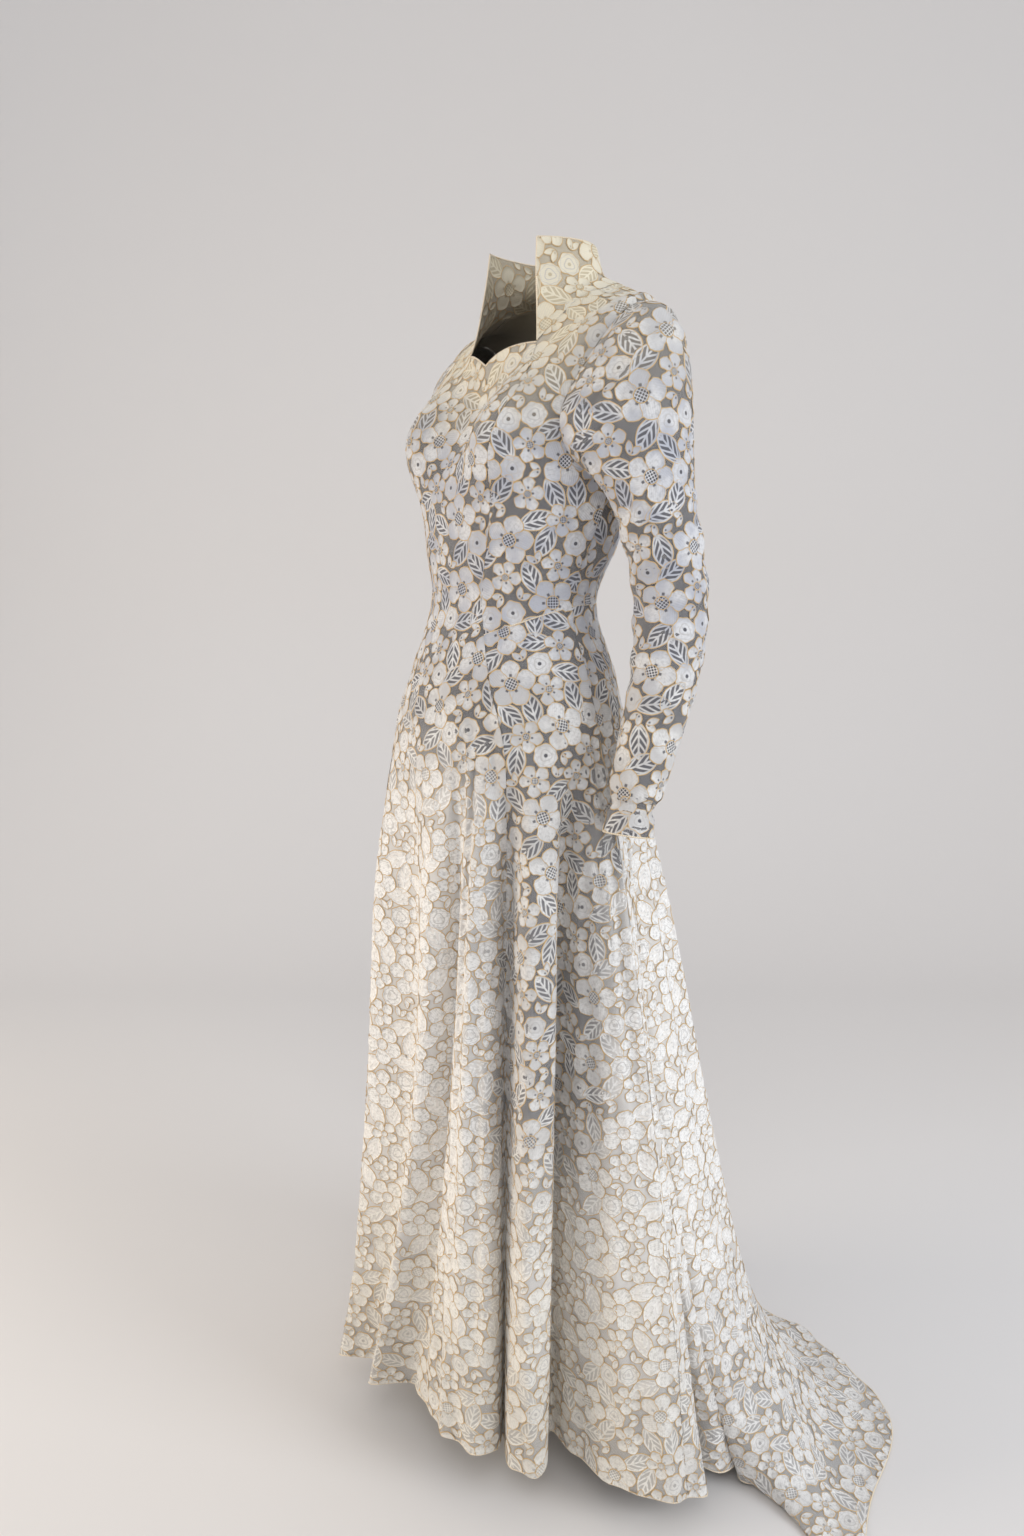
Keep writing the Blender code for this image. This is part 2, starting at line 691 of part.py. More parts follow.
def main():
    for obj in list(bpy.data.objects):
        bpy.data.objects.remove(obj)
    add_front()
    for side, hand in ((1, "left"), (-1, "right")):
        add_side_front(side, f"side_front_{hand}")
        add_back_bodice(side, f"back_bodice_{hand}")
        add_collar(side, f"collar_{hand}")
        add_sleeve(side, f"sleeve_{hand}")
    add_skirt_panel("skirt_side_left", princess_edge, always(SIDE), LEFT_HEM, SIDE)
    add_skirt_panel("skirt_side_right", always(-SIDE), right_princess, -SIDE, -RIGHT_HEM)
    add_skirt_panel("skirt_back_left", always(SIDE), always(BACK), SIDE, BACK)
    add_skirt_panel("skirt_back_right", always(-BACK), always(-SIDE), -BACK, -SIDE)
    add_placket()


main()
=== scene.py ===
# %% [markdown]
# # A lace gown with a stand-up collar and a short train
#
# The packed CAD model holds this gown as plain hollow cloth walls. This lesson dresses it: every
# sewn piece gets a fine net ground, raised floral lace motifs with a tan outlining thread, and
# rolled edges. We start by loading the CAD model as a fixed frame.

# %% Load the frame
import functools
import math

import bpy
import numpy as np
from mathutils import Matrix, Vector


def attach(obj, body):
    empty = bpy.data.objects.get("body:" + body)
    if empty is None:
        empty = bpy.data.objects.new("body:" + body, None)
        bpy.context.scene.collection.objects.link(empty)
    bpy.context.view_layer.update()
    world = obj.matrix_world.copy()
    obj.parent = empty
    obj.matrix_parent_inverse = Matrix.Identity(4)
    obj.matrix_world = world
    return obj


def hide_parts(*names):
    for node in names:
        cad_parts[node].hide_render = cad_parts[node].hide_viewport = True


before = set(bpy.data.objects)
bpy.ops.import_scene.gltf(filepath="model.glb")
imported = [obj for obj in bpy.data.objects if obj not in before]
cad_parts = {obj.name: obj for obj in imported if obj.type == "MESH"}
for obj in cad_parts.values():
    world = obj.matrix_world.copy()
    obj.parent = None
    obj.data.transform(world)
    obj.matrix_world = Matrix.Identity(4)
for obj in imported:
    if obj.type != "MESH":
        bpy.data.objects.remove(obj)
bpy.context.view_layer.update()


def in_scene(name, data):
    """A new object with this data, at the origin and in the scene."""
    piece = bpy.data.objects.new(name, data)
    bpy.context.scene.collection.objects.link(piece)
    return piece


def new_mesh(name, points, faces=()):
    mesh = bpy.data.meshes.new(name)
    mesh.from_pydata(np.asarray(points).tolist(), [], [list(face) for face in faces])
    return mesh


def corner_points(mesh):
    """The number of the point at each corner of each face."""
    corner = np.empty(len(mesh.loops), np.int32)
    mesh.loops.foreach_get("vertex_index", corner)
    return corner


def add_uvs(mesh, name, uvs):
    """A UV map from one pair of coordinates for each point."""
    corners = uvs[corner_points(mesh)].astype(np.float32)
    mesh.uv_layers.new(name=name).data.foreach_set("uv", corners.ravel())

# %% [markdown]
# ## The camera
#
# The photograph looks at the gown's left side from slightly above the middle, 10 degrees down.
# The camera is placed first, so that each later step can be judged from it. A vertical sensor
# fit keeps the picture's height fixed, whatever its width.

# %% Camera
PHOTO_FOCAL = 1154.0 / 1536.0
SENSOR = 36.0
CAMERA_PLACE = (1.202, -0.900, -0.288)
CAMERA_TILT = 80.0
CAMERA_TURN = 55.0
FARTHEST_SEEN = 40.0

camera_data = bpy.data.cameras.new("camera")
camera_data.sensor_fit = "VERTICAL"
camera_data.sensor_height = SENSOR
camera_data.lens = SENSOR * PHOTO_FOCAL
camera_data.clip_end = FARTHEST_SEEN
camera = in_scene("camera", camera_data)
camera.location = CAMERA_PLACE
camera.rotation_euler = (math.radians(CAMERA_TILT), 0.0, math.radians(CAMERA_TURN))
bpy.context.scene.camera = camera
print("lens", round(camera_data.lens, 2), "mm")

# %% [markdown]
# ## The shape of the cloth
#
# The gown is fitted down to the hip, and hangs in folds from there. We could sculpt it, but a
# rule is easier to read and to change: rings round the gown down to the hip, a hem line near or
# on the floor, and a smooth curve between them. The tables are the same as in the CAD source, so
# the dressed cloth lies where the walls are. An angle goes round the gown (0 in front, 90 at the
# wearer's left) and a level goes down it.

# %% The tables of the cloth's shape
WALL = 0.0012
SEAM = 0.0003
FLOOR = -1.480
SIDE = 90.0
BACK = 180.0

# The rings of the gown's fitted part, from the collar down to the hip. Each is an ellipse
# that tilts from the front to the side and the back. Its columns are the height in front, at
# the side and behind, the half width, the depth in front and behind, how far the whole ring is
# moved back, and the flatness: 1 for an ellipse, less for a squarer one.
RINGS = {
    "collar top": (0.086, 0.088, 0.082, 0.064, 0.089, 0.050, 0.000, 1.00),
    "collar middle": (0.030, 0.052, 0.050, 0.071, 0.092, 0.062, 0.000, 0.90),
    "neck base": (-0.088, 0.028, 0.022, 0.094, 0.098, 0.080, 0.000, 0.78),
    "shoulder": (-0.112, 0.014, -0.008, 0.130, 0.108, 0.098, 0.000, 0.85),
    "shoulder tip": (-0.132, 0.001, -0.052, 0.165, 0.116, 0.106, -0.002, 1.00),
    "chest": (-0.156, -0.090, -0.110, 0.171, 0.122, 0.110, -0.010, 1.00),
    "underarm": (-0.195, -0.192, -0.180, 0.155, 0.126, 0.106, -0.024, 1.00),
    "under bust": (-0.264, -0.264, -0.264, 0.138, 0.110, 0.105, -0.044, 1.00),
    "waist": (-0.335, -0.335, -0.335, 0.121, 0.092, 0.093, -0.058, 1.00),
    "high hip": (-0.420, -0.420, -0.420, 0.148, 0.118, 0.115, -0.058, 1.00),
    "hip": (-0.508, -0.508, -0.508, 0.171, 0.141, 0.132, -0.059, 1.00),
}
LEVEL = {name: float(i) for i, name in enumerate(RINGS)}
HIP = LEVEL["hip"]

# Below the hip the cloth falls straight to the hanging hem. Each number is how far down.
FALL = (0.20, 0.50, 0.80, 0.87, 0.935, 1.0)
LAST_LEVEL = HIP + len(FALL)

# The hanging hem: one row for each crest, trough and turn of the folds, round from the back.
# Its columns are the angle round the gown and the point's x, y and z.
HEM = (
    (-180, 0.020, 0.335, -1.478),
    (-170, -0.060, 0.322, -1.476),
    (-162, -0.100, 0.262, -1.474),
    (-153, -0.150, 0.288, -1.472),
    (-144, -0.205, 0.262, -1.470),
    (-135, -0.200, 0.188, -1.466),
    (-124, -0.258, 0.180, -1.460),
    (-114, -0.270, 0.128, -1.455),
    (-107, -0.232, 0.090, -1.450),
    (-98, -0.278, 0.050, -1.442),
    (-90, -0.300, 0.004, -1.436),
    (-80, -0.273, -0.042, -1.430),
    (-69, -0.212, -0.076, -1.424),
    (-61, -0.158, -0.086, -1.420),
    (-53, -0.196, -0.134, -1.420),
    (-45, -0.200, -0.178, -1.416),
    (-38, -0.150, -0.178, -1.412),
    (-30, -0.160, -0.246, -1.408),
    (-24, -0.112, -0.208, -1.405),
    (-17, -0.078, -0.244, -1.402),
    (-9, -0.040, -0.198, -1.402),
    (2, 0.020, -0.204, -1.405),
    (12, 0.064, -0.206, -1.408),
    (21, 0.106, -0.188, -1.412),
    (26, 0.112, -0.160, -1.415),
    (30, 0.092, -0.138, -1.418),
    (36, 0.138, -0.158, -1.420),
    (42, 0.167, -0.150, -1.422),
    (47, 0.164, -0.120, -1.422),
    (53, 0.120, -0.082, -1.420),
    (61, 0.162, -0.078, -1.422),
    (71, 0.226, -0.069, -1.426),
    (81, 0.275, -0.039, -1.430),
    (90, 0.299, 0.004, -1.436),
    (97, 0.291, 0.038, -1.442),
    (103, 0.288, 0.052, -1.447),
    (108, 0.285, 0.063, -1.452),
    (112, 0.282, 0.070, -1.458),
    (116, 0.282, 0.078, -1.464),
    (119, 0.283, 0.085, -1.469),
    (122, 0.285, 0.092, -1.472),
    (126, 0.288, 0.115, -1.474),
    (131, 0.288, 0.150, -1.476),
    (138, 0.250, 0.222, -1.478),
    (143, 0.224, 0.247, -1.478),
    (148, 0.198, 0.268, -1.478),
    (158, 0.138, 0.288, -1.478),
    (169, 0.085, 0.328, -1.478),
    (180, 0.020, 0.335, -1.478),
)

# The train: where the back's hem lies on the floor, swept to the wearer's left. Its columns are
# the angle, how much of the way the hem has left the hanging hem for the floor, and x and y.
TRAIN = (
    (-180, 1.0, 0.030, 0.402),
    (-168, 1.0, -0.055, 0.392),
    (-154, 1.0, -0.145, 0.352),
    (-140, 0.6, -0.215, 0.280),
    (-124, 0.0, -0.258, 0.180),
    (112, 0.0, 0.285, 0.092),
    (119, 0.0, 0.288, 0.118),
    (122, 1.0, 0.302, 0.130),
    (126, 1.0, 0.366, 0.127),
    (131, 1.0, 0.448, 0.113),
    (138, 1.0, 0.420, 0.196),
    (143, 1.0, 0.372, 0.288),
    (148, 1.0, 0.312, 0.378),
    (157, 1.0, 0.232, 0.402),
    (168, 1.0, 0.130, 0.420),
    (180, 1.0, 0.030, 0.402),
)
# How far towards its place on the floor each of the last levels of the train lies, and how
# high its upper face is there.
TRAIN_REACH = ((0.16, 0.062), (0.52, 0.010), (1.0, WALL))
TRAIN_RIPPLE = 0.003
TRAIN_RIPPLES = 22

# The two small folds between the side and the train, which only open near the hem. The columns
# are the angle and how far the hem has moved there along x and y.
LATE_FOLDS = (
    (-180, 0.000, 0.000),
    (90, 0.000, 0.000),
    (97, 0.000, 0.000),
    (103, -0.050, 0.004),
    (108, -0.010, 0.015),
    (112, -0.018, 0.056),
    (116, -0.036, 0.084),
    (119, -0.012, 0.026),
    (122, 0.000, 0.000),
    (126, 0.000, 0.000),
    (180, 0.000, 0.000),
)
LATE_START = 0.45
LATE_SPEED = 1.5

# The other folds open early. Halfway down they are nearly as deep as at the hem: this is how
# much of their depth at the hem is added there, and over how many degrees a fold is measured.
EARLY_DEPTH = 0.50
FOLD_WINDOW = 18.0
FOLD_STEPS = 9

# The skirt hangs twisted, as its train is swept to one side. The columns are a fold's angle and
# how far round from there it leaves the hip. The twist starts at the waist.
TWIST = (
    (-180, 0.0),
    (-90, 0.0),
    (-61, 3.0),
    (-45, 1.0),
    (-38, 4.0),
    (-30, 9.0),
    (-24, 22.0),
    (-17, 34.0),
    (-9, 33.0),
    (2, 28.0),
    (12, 23.0),
    (21, 19.0),
    (26, 17.5),
    (30, 17.0),
    (36, 18.0),
    (42, 20.0),
    (47, 22.0),
    (53, 21.0),
    (61, 18.0),
    (71, 13.0),
    (81, 8.0),
    (90, 5.0),
    (103, 2.0),
    (119, 0.0),
    (180, 0.0),
)
TWIST_SHARE = {"high hip": 0.5, "hip": 1.0}

# How far the middle of the fall stands from a straight line: the angle, x and y.
FALL_BEND = (
    (-180, 0.000, 0.000),
    (-80, 0.000, 0.000),
    (-53, 0.002, 0.002),
    (-38, 0.004, 0.006),
    (-30, 0.014, 0.008),
    (-24, 0.026, 0.010),
    (-17, 0.030, 0.010),
    (-9, 0.020, 0.006),
    (2, 0.008, 0.000),
    (12, 0.000, 0.000),
    (90, 0.000, 0.000),
    (112, -0.010, -0.012),
    (131, -0.012, -0.014),
    (148, -0.006, -0.008),
    (168, 0.000, 0.000),
    (180, 0.000, 0.000),
)

# The bust of the cut: two rounded cups that the princess seams shape.
CUP = {"x": 0.084, "z": -0.132, "wide": 0.052, "tall": 0.064, "out": 0.044, "fade": 0.05}

# The princess seam's angle at each level, on the wearer's left and right: from the neckline's
# corner, over the cup, to the hem. Below the waist the two differ because the skirt is twisted.
PRINCESS = (
    ("neck base", 50.0, 50.0),
    ("shoulder", 43.0, 43.0),
    ("shoulder tip", 38.0, 38.0),
    ("chest", 34.0, 34.0),
    ("underarm", 32.0, 32.0),
    ("under bust", 29.0, 29.0),
    ("waist", 27.0, 27.0),
    ("high hip", 28.0, 34.0),
    ("hip", 30.0, 45.0),
)
CORNER = PRINCESS[0][1]
LEFT_HEM, RIGHT_HEM = PRINCESS[-1][1:]

# The sweetheart neckline: the height of its notch in the middle and of its two corners, and how
# sharply it dips between them.
NOTCH_Z = -0.054
CORNER_Z = -0.034
NOTCH_SHARPNESS = 2.2

# The waist seam: level round the back and the sides, then dropping to the princess seam.
WAIST_DROP = 0.42
WAIST_DROP_FROM = 100.0
WAIST_DROP_TO = 28.0
WAIST_BEND = 1.4

# The armhole: its reach round the gown in front and behind, in degrees, and down, in levels.
ARMHOLE = {"front": 34.0, "back": 30.0, "middle": LEVEL["chest"], "tall": 1.0}

# The left sleeve's rings below the armhole: the x, y and z of its centre line, its radius
# from side to side and its radius from front to back.
SLEEVE = (
    (0.2000, 0.004, -0.235, 0.041, 0.048),
    (0.2070, 0.016, -0.300, 0.041, 0.045),
    (0.2110, 0.016, -0.360, 0.040, 0.044),
    (0.2160, 0.002, -0.425, 0.037, 0.040),
    (0.2200, -0.022, -0.490, 0.033, 0.035),
    (0.2220, -0.040, -0.540, 0.030, 0.032),
    (0.2230, -0.047, -0.562, 0.0265, 0.029),
    (0.2240, -0.053, -0.592, 0.0280, 0.030),
)
CAP_ROWS = 6
# How the sleeve's cap leaves the armhole: its fullness there, how strongly it turns down
# before the first ring, and its direction (outward, forward at the front, up, down below).
CAP_FULLNESS = 0.95
CAP_DROP = 1.1
CAP_LEAVE = {"out": 1.0, "forward": 0.25, "up": 0.10, "down": 0.55}

# The strip over the back's fastening: its width, and how many of the skirt's rows it covers.
PLACKET_WIDTH = 0.022
PLACKET_SKIRT_ROWS = 3

# How many rows each stretch of the gown has, in the coarse grid of the CAD model.
COLLAR_ROWS = 6
SHOULDER_ROWS = 3
ARMHOLE_ROWS = 9
BODICE_ROWS = 5
HIP_ROWS = 4

# %% The gown's surface at an angle and a level
def spline(before, start, end, after, part):
    """A smooth curve from start to end that heeds the values before and after them."""
    bend = 2 * before - 5 * start + 4 * end - after
    turn = 3 * start - before - 3 * end + after
    return start + 0.5 * part * (end - before + part * (bend + part * turn))


def with_ends(values):
    """The values with one more at each end, in line with the last two."""
    return np.concatenate([2 * values[:1] - values[1:2], values, 2 * values[-1:] - values[-2:-1]])


def curve_through(values, place):
    """A smooth curve through evenly numbered rows of values, read at each place."""
    values = np.asarray(values, float)
    place = np.clip(np.asarray(place, float), 0.0, len(values) - 1.0)
    row = np.minimum(place.astype(int), len(values) - 2)
    part = place - row
    part = part.reshape(part.shape + (1,) * (values.ndim - 1))
    padded = with_ends(values)
    return spline(*(padded[row + i] for i in range(4)), part)


def read_table(table, angle):
    """The columns after the first of a table whose first column is an angle, as a smooth curve."""
    table = np.asarray(table, float)
    turned = (np.asarray(angle, float) + 180.0) % 360.0 - 180.0
    place = np.interp(turned, table[:, 0], np.arange(len(table)))
    return curve_through(table[:, 1:], place)


def ring_point(angle, ring):
    """The points of one ring of RINGS at these angles."""
    z_front, z_side, z_back, half_width, front, back, shift, flatness = RINGS[ring]
    sine = np.sin(np.radians(angle))
    cosine = np.cos(np.radians(angle))
    depth = np.where(cosine > 0, front, back)
    tilt = z_side * sine**2 + 0.5 * cosine * (z_front * (1 + cosine) - z_back * (1 - cosine))
    reach = depth * np.sign(cosine) * np.abs(cosine) ** flatness
    return np.stack([half_width * sine, shift - reach, tilt], axis=-1)


def twisted(angle, ring):
    """Where a fold's angle stands on one of the rings."""
    return angle + TWIST_SHARE.get(ring, 0.0) * read_table(TWIST, angle)[..., 0]


def fall_points(angle):
    """The points below the hip: down to the hanging hem, or out over the floor."""
    hip = ring_point(twisted(angle, "hip"), "hip")
    hanging = read_table(HEM, angle)
    train = read_table(TRAIN, angle)
    share = np.clip(train[..., :1], 0.0, 1.0)
    window = np.linspace(-FOLD_WINDOW, FOLD_WINDOW, FOLD_STEPS)
    fold = hanging - sum(read_table(HEM, angle + off) for off in window) / FOLD_STEPS
    turn = np.radians(twisted(angle, "hip"))
    out = np.stack([np.sin(turn), -np.cos(turn)], axis=-1)
    fold = np.sum(fold[..., :2] * out, axis=-1, keepdims=True) * out
    bend = read_table(FALL_BEND, angle)
    late = read_table(LATE_FOLDS, angle)
    levels = []
    for part in FALL:
        early = EARLY_DEPTH * math.sin(math.pi * math.sqrt(part))
        opened = max(0.0, (part - LATE_START) / (1 - LATE_START)) ** LATE_SPEED
        aside = early * fold + math.sin(math.pi * part) * bend + opened * late
        aside = np.concatenate([aside, 0 * aside[..., :1]], axis=-1)
        levels.append(hip + part * (hanging - hip) + aside)
    ripple = TRAIN_RIPPLE * (1 + np.sin(np.radians(angle) * TRAIN_RIPPLES)) * share[..., 0]
    for i, (reach, height) in enumerate(TRAIN_REACH):
        flat = hanging[..., :2] + reach * (train[..., 1:] - hanging[..., :2])
        lift = ripple * 4 * reach * (1 - reach)
        laid = np.concatenate([flat, (FLOOR + height + lift)[..., None]], axis=-1)
        level = len(FALL) - len(TRAIN_REACH) + i
        levels[level] = levels[level] + share * (laid - levels[level])
    return levels


def gown_point(angle, level):
    """The gown's outer surface at these angles and levels."""
    angle, level = np.broadcast_arrays(np.asarray(angle, float), np.asarray(level, float))
    rings = [ring_point(twisted(angle, ring), ring) for ring in RINGS]
    knots = np.stack(rings + fall_points(angle))
    row = np.clip(level.astype(int), 0, len(knots) - 2)
    part = (level - row)[..., None]
    padded = with_ends(knots)
    around = (np.take_along_axis(padded, (row + i)[None, ..., None], axis=0)[0] for i in range(4))
    point = spline(*around, part)
    for side in (-1, 1):
        across = (point[..., 0] - side * CUP["x"]) / CUP["wide"]
        up = (point[..., 2] - CUP["z"]) / CUP["tall"]
        in_front = np.clip(-point[..., 1] / CUP["fade"], 0.0, 1.0)
        point[..., 1] -= CUP["out"] * in_front * np.exp(-(across**2) - up**2)
    return point


def unit(vectors):
    return vectors / np.linalg.norm(vectors, axis=-1, keepdims=True)


# %% The seams: where one sewn piece ends and the next begins
HALVINGS = 40


def princess(level, side=1):
    """The princess seam's angle at these levels, on the wearer's left or, as a size, right."""
    known = [LEVEL[row[0]] for row in PRINCESS]
    return np.interp(level, known, [row[1 if side > 0 else 2] for row in PRINCESS])


def level_at(angle, height):
    """The level on the upper part of the gown where each angle passes each height."""
    low = np.full(np.shape(angle), LEVEL["shoulder tip"])
    high = np.full(np.shape(angle), 0.0)
    for _ in range(HALVINGS):
        middle = 0.5 * (low + high)
        under = gown_point(angle, middle)[..., 2] < height
        low = np.where(under, middle, low)
        high = np.where(under, high, middle)
    return 0.5 * (low + high)


def neckline_level(angle):
    """The sweetheart neckline: flat from each corner, then dipping to the notch in the middle."""
    part = np.clip(np.abs(angle) / CORNER, 0.0, 1.0)
    height = NOTCH_Z + (CORNER_Z - NOTCH_Z) * (1 - (1 - part) ** NOTCH_SHARPNESS)
    return level_at(angle, height)


def waist_level(angle):
    """The waist seam, which drops from the side towards the princess seam."""
    part = (WAIST_DROP_FROM - np.abs(angle)) / (WAIST_DROP_FROM - WAIST_DROP_TO)
    return LEVEL["waist"] + WAIST_DROP * np.clip(part, 0.0, 1.0) ** WAIST_BEND


def armhole_angle(level, edge):
    """The angle of the armhole's front or back edge, or of the side where there is no hole."""
    off = (np.asarray(level, float) - ARMHOLE["middle"]) / ARMHOLE["tall"]
    half = np.sqrt(np.clip(1 - off**2, 0.0, 1.0))
    return SIDE - ARMHOLE["front"] * half if edge == "front" else SIDE + ARMHOLE["back"] * half


def patch_grid(levels, left, right, part):
    """Angles and levels over a patch whose left and right edges follow these functions."""
    levels = np.asarray(levels, float)
    start = left(levels)[:, None]
    end = right(levels)[:, None]
    return start + (end - start) * part, np.repeat(levels[:, None], len(part), axis=1)


def hem_columns(left, right):
    """The hem's crests, troughs and middles from one seam to the next, as parts of the way."""
    rows = np.array([row[0] for row in HEM], float)
    angles = np.sort(np.concatenate([rows, (rows[1:] + rows[:-1]) / 2]))
    inside = angles[(angles >= left) & (angles <= right)]
    return (inside - left) / (right - left)


def even(columns):
    return np.linspace(0.0, 1.0, columns)


def always(value):
    return lambda level: np.full(np.shape(level), value)


def armhole_levels(steps):
    """Levels from the top of the armhole to its bottom, closer together at both ends."""
    turn = np.linspace(0.0, math.pi, steps)
    return ARMHOLE["middle"] - ARMHOLE["tall"] * np.cos(turn)


def collar_levels():
    return np.linspace(0.0, LEVEL["neck base"], COLLAR_ROWS)


def bodice_levels():
    """Levels from the shoulder seam, past the armhole, to the waist."""
    return np.concatenate([
        np.linspace(LEVEL["neck base"], LEVEL["shoulder tip"], SHOULDER_ROWS + 1)[:-1],
        armhole_levels(ARMHOLE_ROWS),
        np.linspace(LEVEL["underarm"], LEVEL["waist"], BODICE_ROWS)[1:],
    ])


def skirt_levels():
    """Levels from the waist seam down to the hem."""
    below_hip = np.linspace(HIP, LAST_LEVEL, 2 * len(FALL) + 1)[1:]
    return np.concatenate([np.linspace(LEVEL["waist"], HIP, HIP_ROWS), below_hip])


def drawn_to_waist(angle, level):
    """The levels round the waist, drawn down so that the row at the waist follows its seam."""
    above = (level - LEVEL["underarm"]) / (LEVEL["waist"] - LEVEL["underarm"])
    below = (HIP - level) / (HIP - LEVEL["waist"])
    part = np.clip(np.minimum(above, below), 0.0, 1.0)
    return level + part * (waist_level(angle) - LEVEL["waist"])


def princess_level(level, side=1):
    """The level of each row where it meets the princess seam."""
    return drawn_to_waist(princess(level, side), level)


def princess_edge(level, side=1):
    """The princess seam's angle at the row that starts from this level."""
    return side * princess(princess_level(level, side), side)


def right_princess(level):
    return princess_edge(level, -1)


def front_row(level, part):
    """The angles and levels of one of the front's rows, from the right seam to the left one."""
    start, end = right_princess(level), princess_edge(level)
    right, left = drawn_to_waist(start, level), drawn_to_waist(end, level)
    return start + (end - start) * part, right + (left - right) * part

# %% The sleeve: a cap from the armhole, then rings down to the wrist
def armhole_loop(turn):
    """Points round the left armhole: from the shoulder tip, down its front, and up its back."""
    sine = np.sin(turn)
    level = ARMHOLE["middle"] - ARMHOLE["tall"] * np.cos(turn)
    angle = SIDE - np.where(sine > 0, ARMHOLE["front"], ARMHOLE["back"]) * sine
    return angle, level


def sleeve_grid(sides, cap_rows):
    """The left sleeve's outer surface: a cap lofted from the armhole, then rings to the wrist."""
    turn = np.linspace(0.0, 2 * math.pi, sides, endpoint=False)
    angle, level = armhole_loop(turn)
    hole = gown_point(angle, level)
    leave = np.stack([
        np.full(sides, CAP_LEAVE["out"]),
        -CAP_LEAVE["forward"] * np.sin(turn),
        CAP_LEAVE["up"] + CAP_LEAVE["down"] * (np.cos(turn) - 1) / 2,
    ], axis=-1)
    leave = unit(leave)
    start = hole + (SEAM + WALL / 2) * leave
    table = np.array(SLEEVE)
    rings = []
    for place, (x, y, z, across, deep) in enumerate(table):
        ahead = curve_through(table, np.array([place + 0.05]))[0][:3]
        behind = curve_through(table, np.array([place - 0.05]))[0][:3]
        along = unit(ahead - behind)
        outward = unit(np.array([1.0, 0.0, 0.0]) - along[0] * along)
        forward = np.cross(along, outward)
        ring = np.array([x, y, z]) + across * np.cos(turn)[:, None] * outward
        rings.append(ring + deep * np.sin(turn)[:, None] * forward)
    first = rings[0]
    down = unit(rings[1] - rings[0])
    gap = np.linalg.norm(first - start, axis=-1, keepdims=True)
    grid = []
    for t in np.linspace(0.0, 1.0, cap_rows, endpoint=False):
        blend = (2 * t**3 - 3 * t**2 + 1, t**3 - 2 * t**2 + t, 3 * t**2 - 2 * t**3, t**3 - t**2)
        grid.append(
            blend[0] * start + blend[1] * CAP_FULLNESS * gap * leave
            + blend[2] * first + blend[3] * CAP_DROP * gap * down
        )
    return np.array(grid + rings)

# %% [markdown]
# ## Fine grids for the sewn pieces
#
# Each piece is a grid of points on that surface, finer than in the CAD model. A skirt panel's
# columns stand on the folds' crests and troughs, with more between them. Later each grid is laid
# flat, as when a tailor unpicks a garment, by an unwrap with the least stretch. The flat copy
# gives each piece its UV map in metres, so the lace nearly keeps its size and bends with the
# cloth.

# %% Finer rows and columns
ROW_STEPS = 3
COLLAR_ROW_STEPS = 5
COLUMN_STEPS = 3
SIDE_FRONT_COLUMNS = 28
BACK_BODICE_COLUMNS = 32
COLLAR_COLUMNS = 52


def finer(values, times):
    """Values with this many steps in place of each one."""
    values = np.asarray(values, float)
    place = np.linspace(0, len(values) - 1, (len(values) - 1) * times + 1)
    return np.interp(place, np.arange(len(values)), values)


def front_grid():
    part = finer(hem_columns(-RIGHT_HEM, LEFT_HEM), COLUMN_STEPS)
    across = 2 * part - 1
    top = neckline_level(across * CORNER)
    rows = []
    for part_down in np.linspace(0.0, 1.0, ROW_STEPS * SHOULDER_ROWS, endpoint=False):
        level = top + (LEVEL["shoulder tip"] - top) * part_down
        rows.append((across * princess(level), level))
    levels = np.concatenate([bodice_levels()[SHOULDER_ROWS:], skirt_levels()[1:]])
    rows += [front_row(level, part) for level in finer(levels, ROW_STEPS)]
    return tuple(np.array([row[k] for row in rows]) for k in range(2))


def bodice_grid(left, right, columns):
    angle, level = patch_grid(finer(bodice_levels(), ROW_STEPS), left, right, even(columns))
    return angle, drawn_to_waist(angle, level)


def skirt_grid(left, right, hem_left, hem_right):
    part = finer(hem_columns(hem_left, hem_right), COLUMN_STEPS)
    angle, level = patch_grid(finer(skirt_levels(), ROW_STEPS), left, right, part)
    return angle, drawn_to_waist(angle, level)


def turned_over(angle, level):
    """The same patch on the wearer's right, with the columns still running the same way."""
    return -angle[:, ::-1], level[:, ::-1]


front_edge, back_edge = (functools.partial(armhole_angle, edge=edge) for edge in ("front", "back"))
side_front_left = bodice_grid(princess_edge, front_edge, SIDE_FRONT_COLUMNS)
side_front_right = bodice_grid(
    lambda level: -right_princess(level), front_edge, SIDE_FRONT_COLUMNS
)
back_bodice = bodice_grid(back_edge, always(BACK), BACK_BODICE_COLUMNS)
collar_rows = finer(collar_levels(), COLLAR_ROW_STEPS)
collar = patch_grid(collar_rows, always(CORNER), always(BACK), even(COLLAR_COLUMNS))
PATCHES = {
    "front_panel": front_grid(),
    "side_front_left": side_front_left,
    "side_front_right": turned_over(*side_front_right),
    "back_bodice_left": back_bodice,
    "back_bodice_right": turned_over(*back_bodice),
    "collar_left": collar,
    "collar_right": turned_over(*collar),
    "skirt_side_left": skirt_grid(princess_edge, always(SIDE), LEFT_HEM, SIDE),
    "skirt_side_right": skirt_grid(always(-SIDE), right_princess, -SIDE, -RIGHT_HEM),
    "skirt_back_left": skirt_grid(always(SIDE), always(BACK), SIDE, BACK),
    "skirt_back_right": skirt_grid(always(-BACK), always(-SIDE), -BACK, -SIDE),
}
print("patches", {name: grid[0].shape for name, grid in PATCHES.items()})


# %% Tools for laying a grid flat
FLATTEN_STEPS = 8


def grid_out(points):
    """Outward directions of a grid of points, from its neighbours along rows and columns."""
    return unit(np.cross(np.gradient(points, axis=0), np.gradient(points, axis=1)))


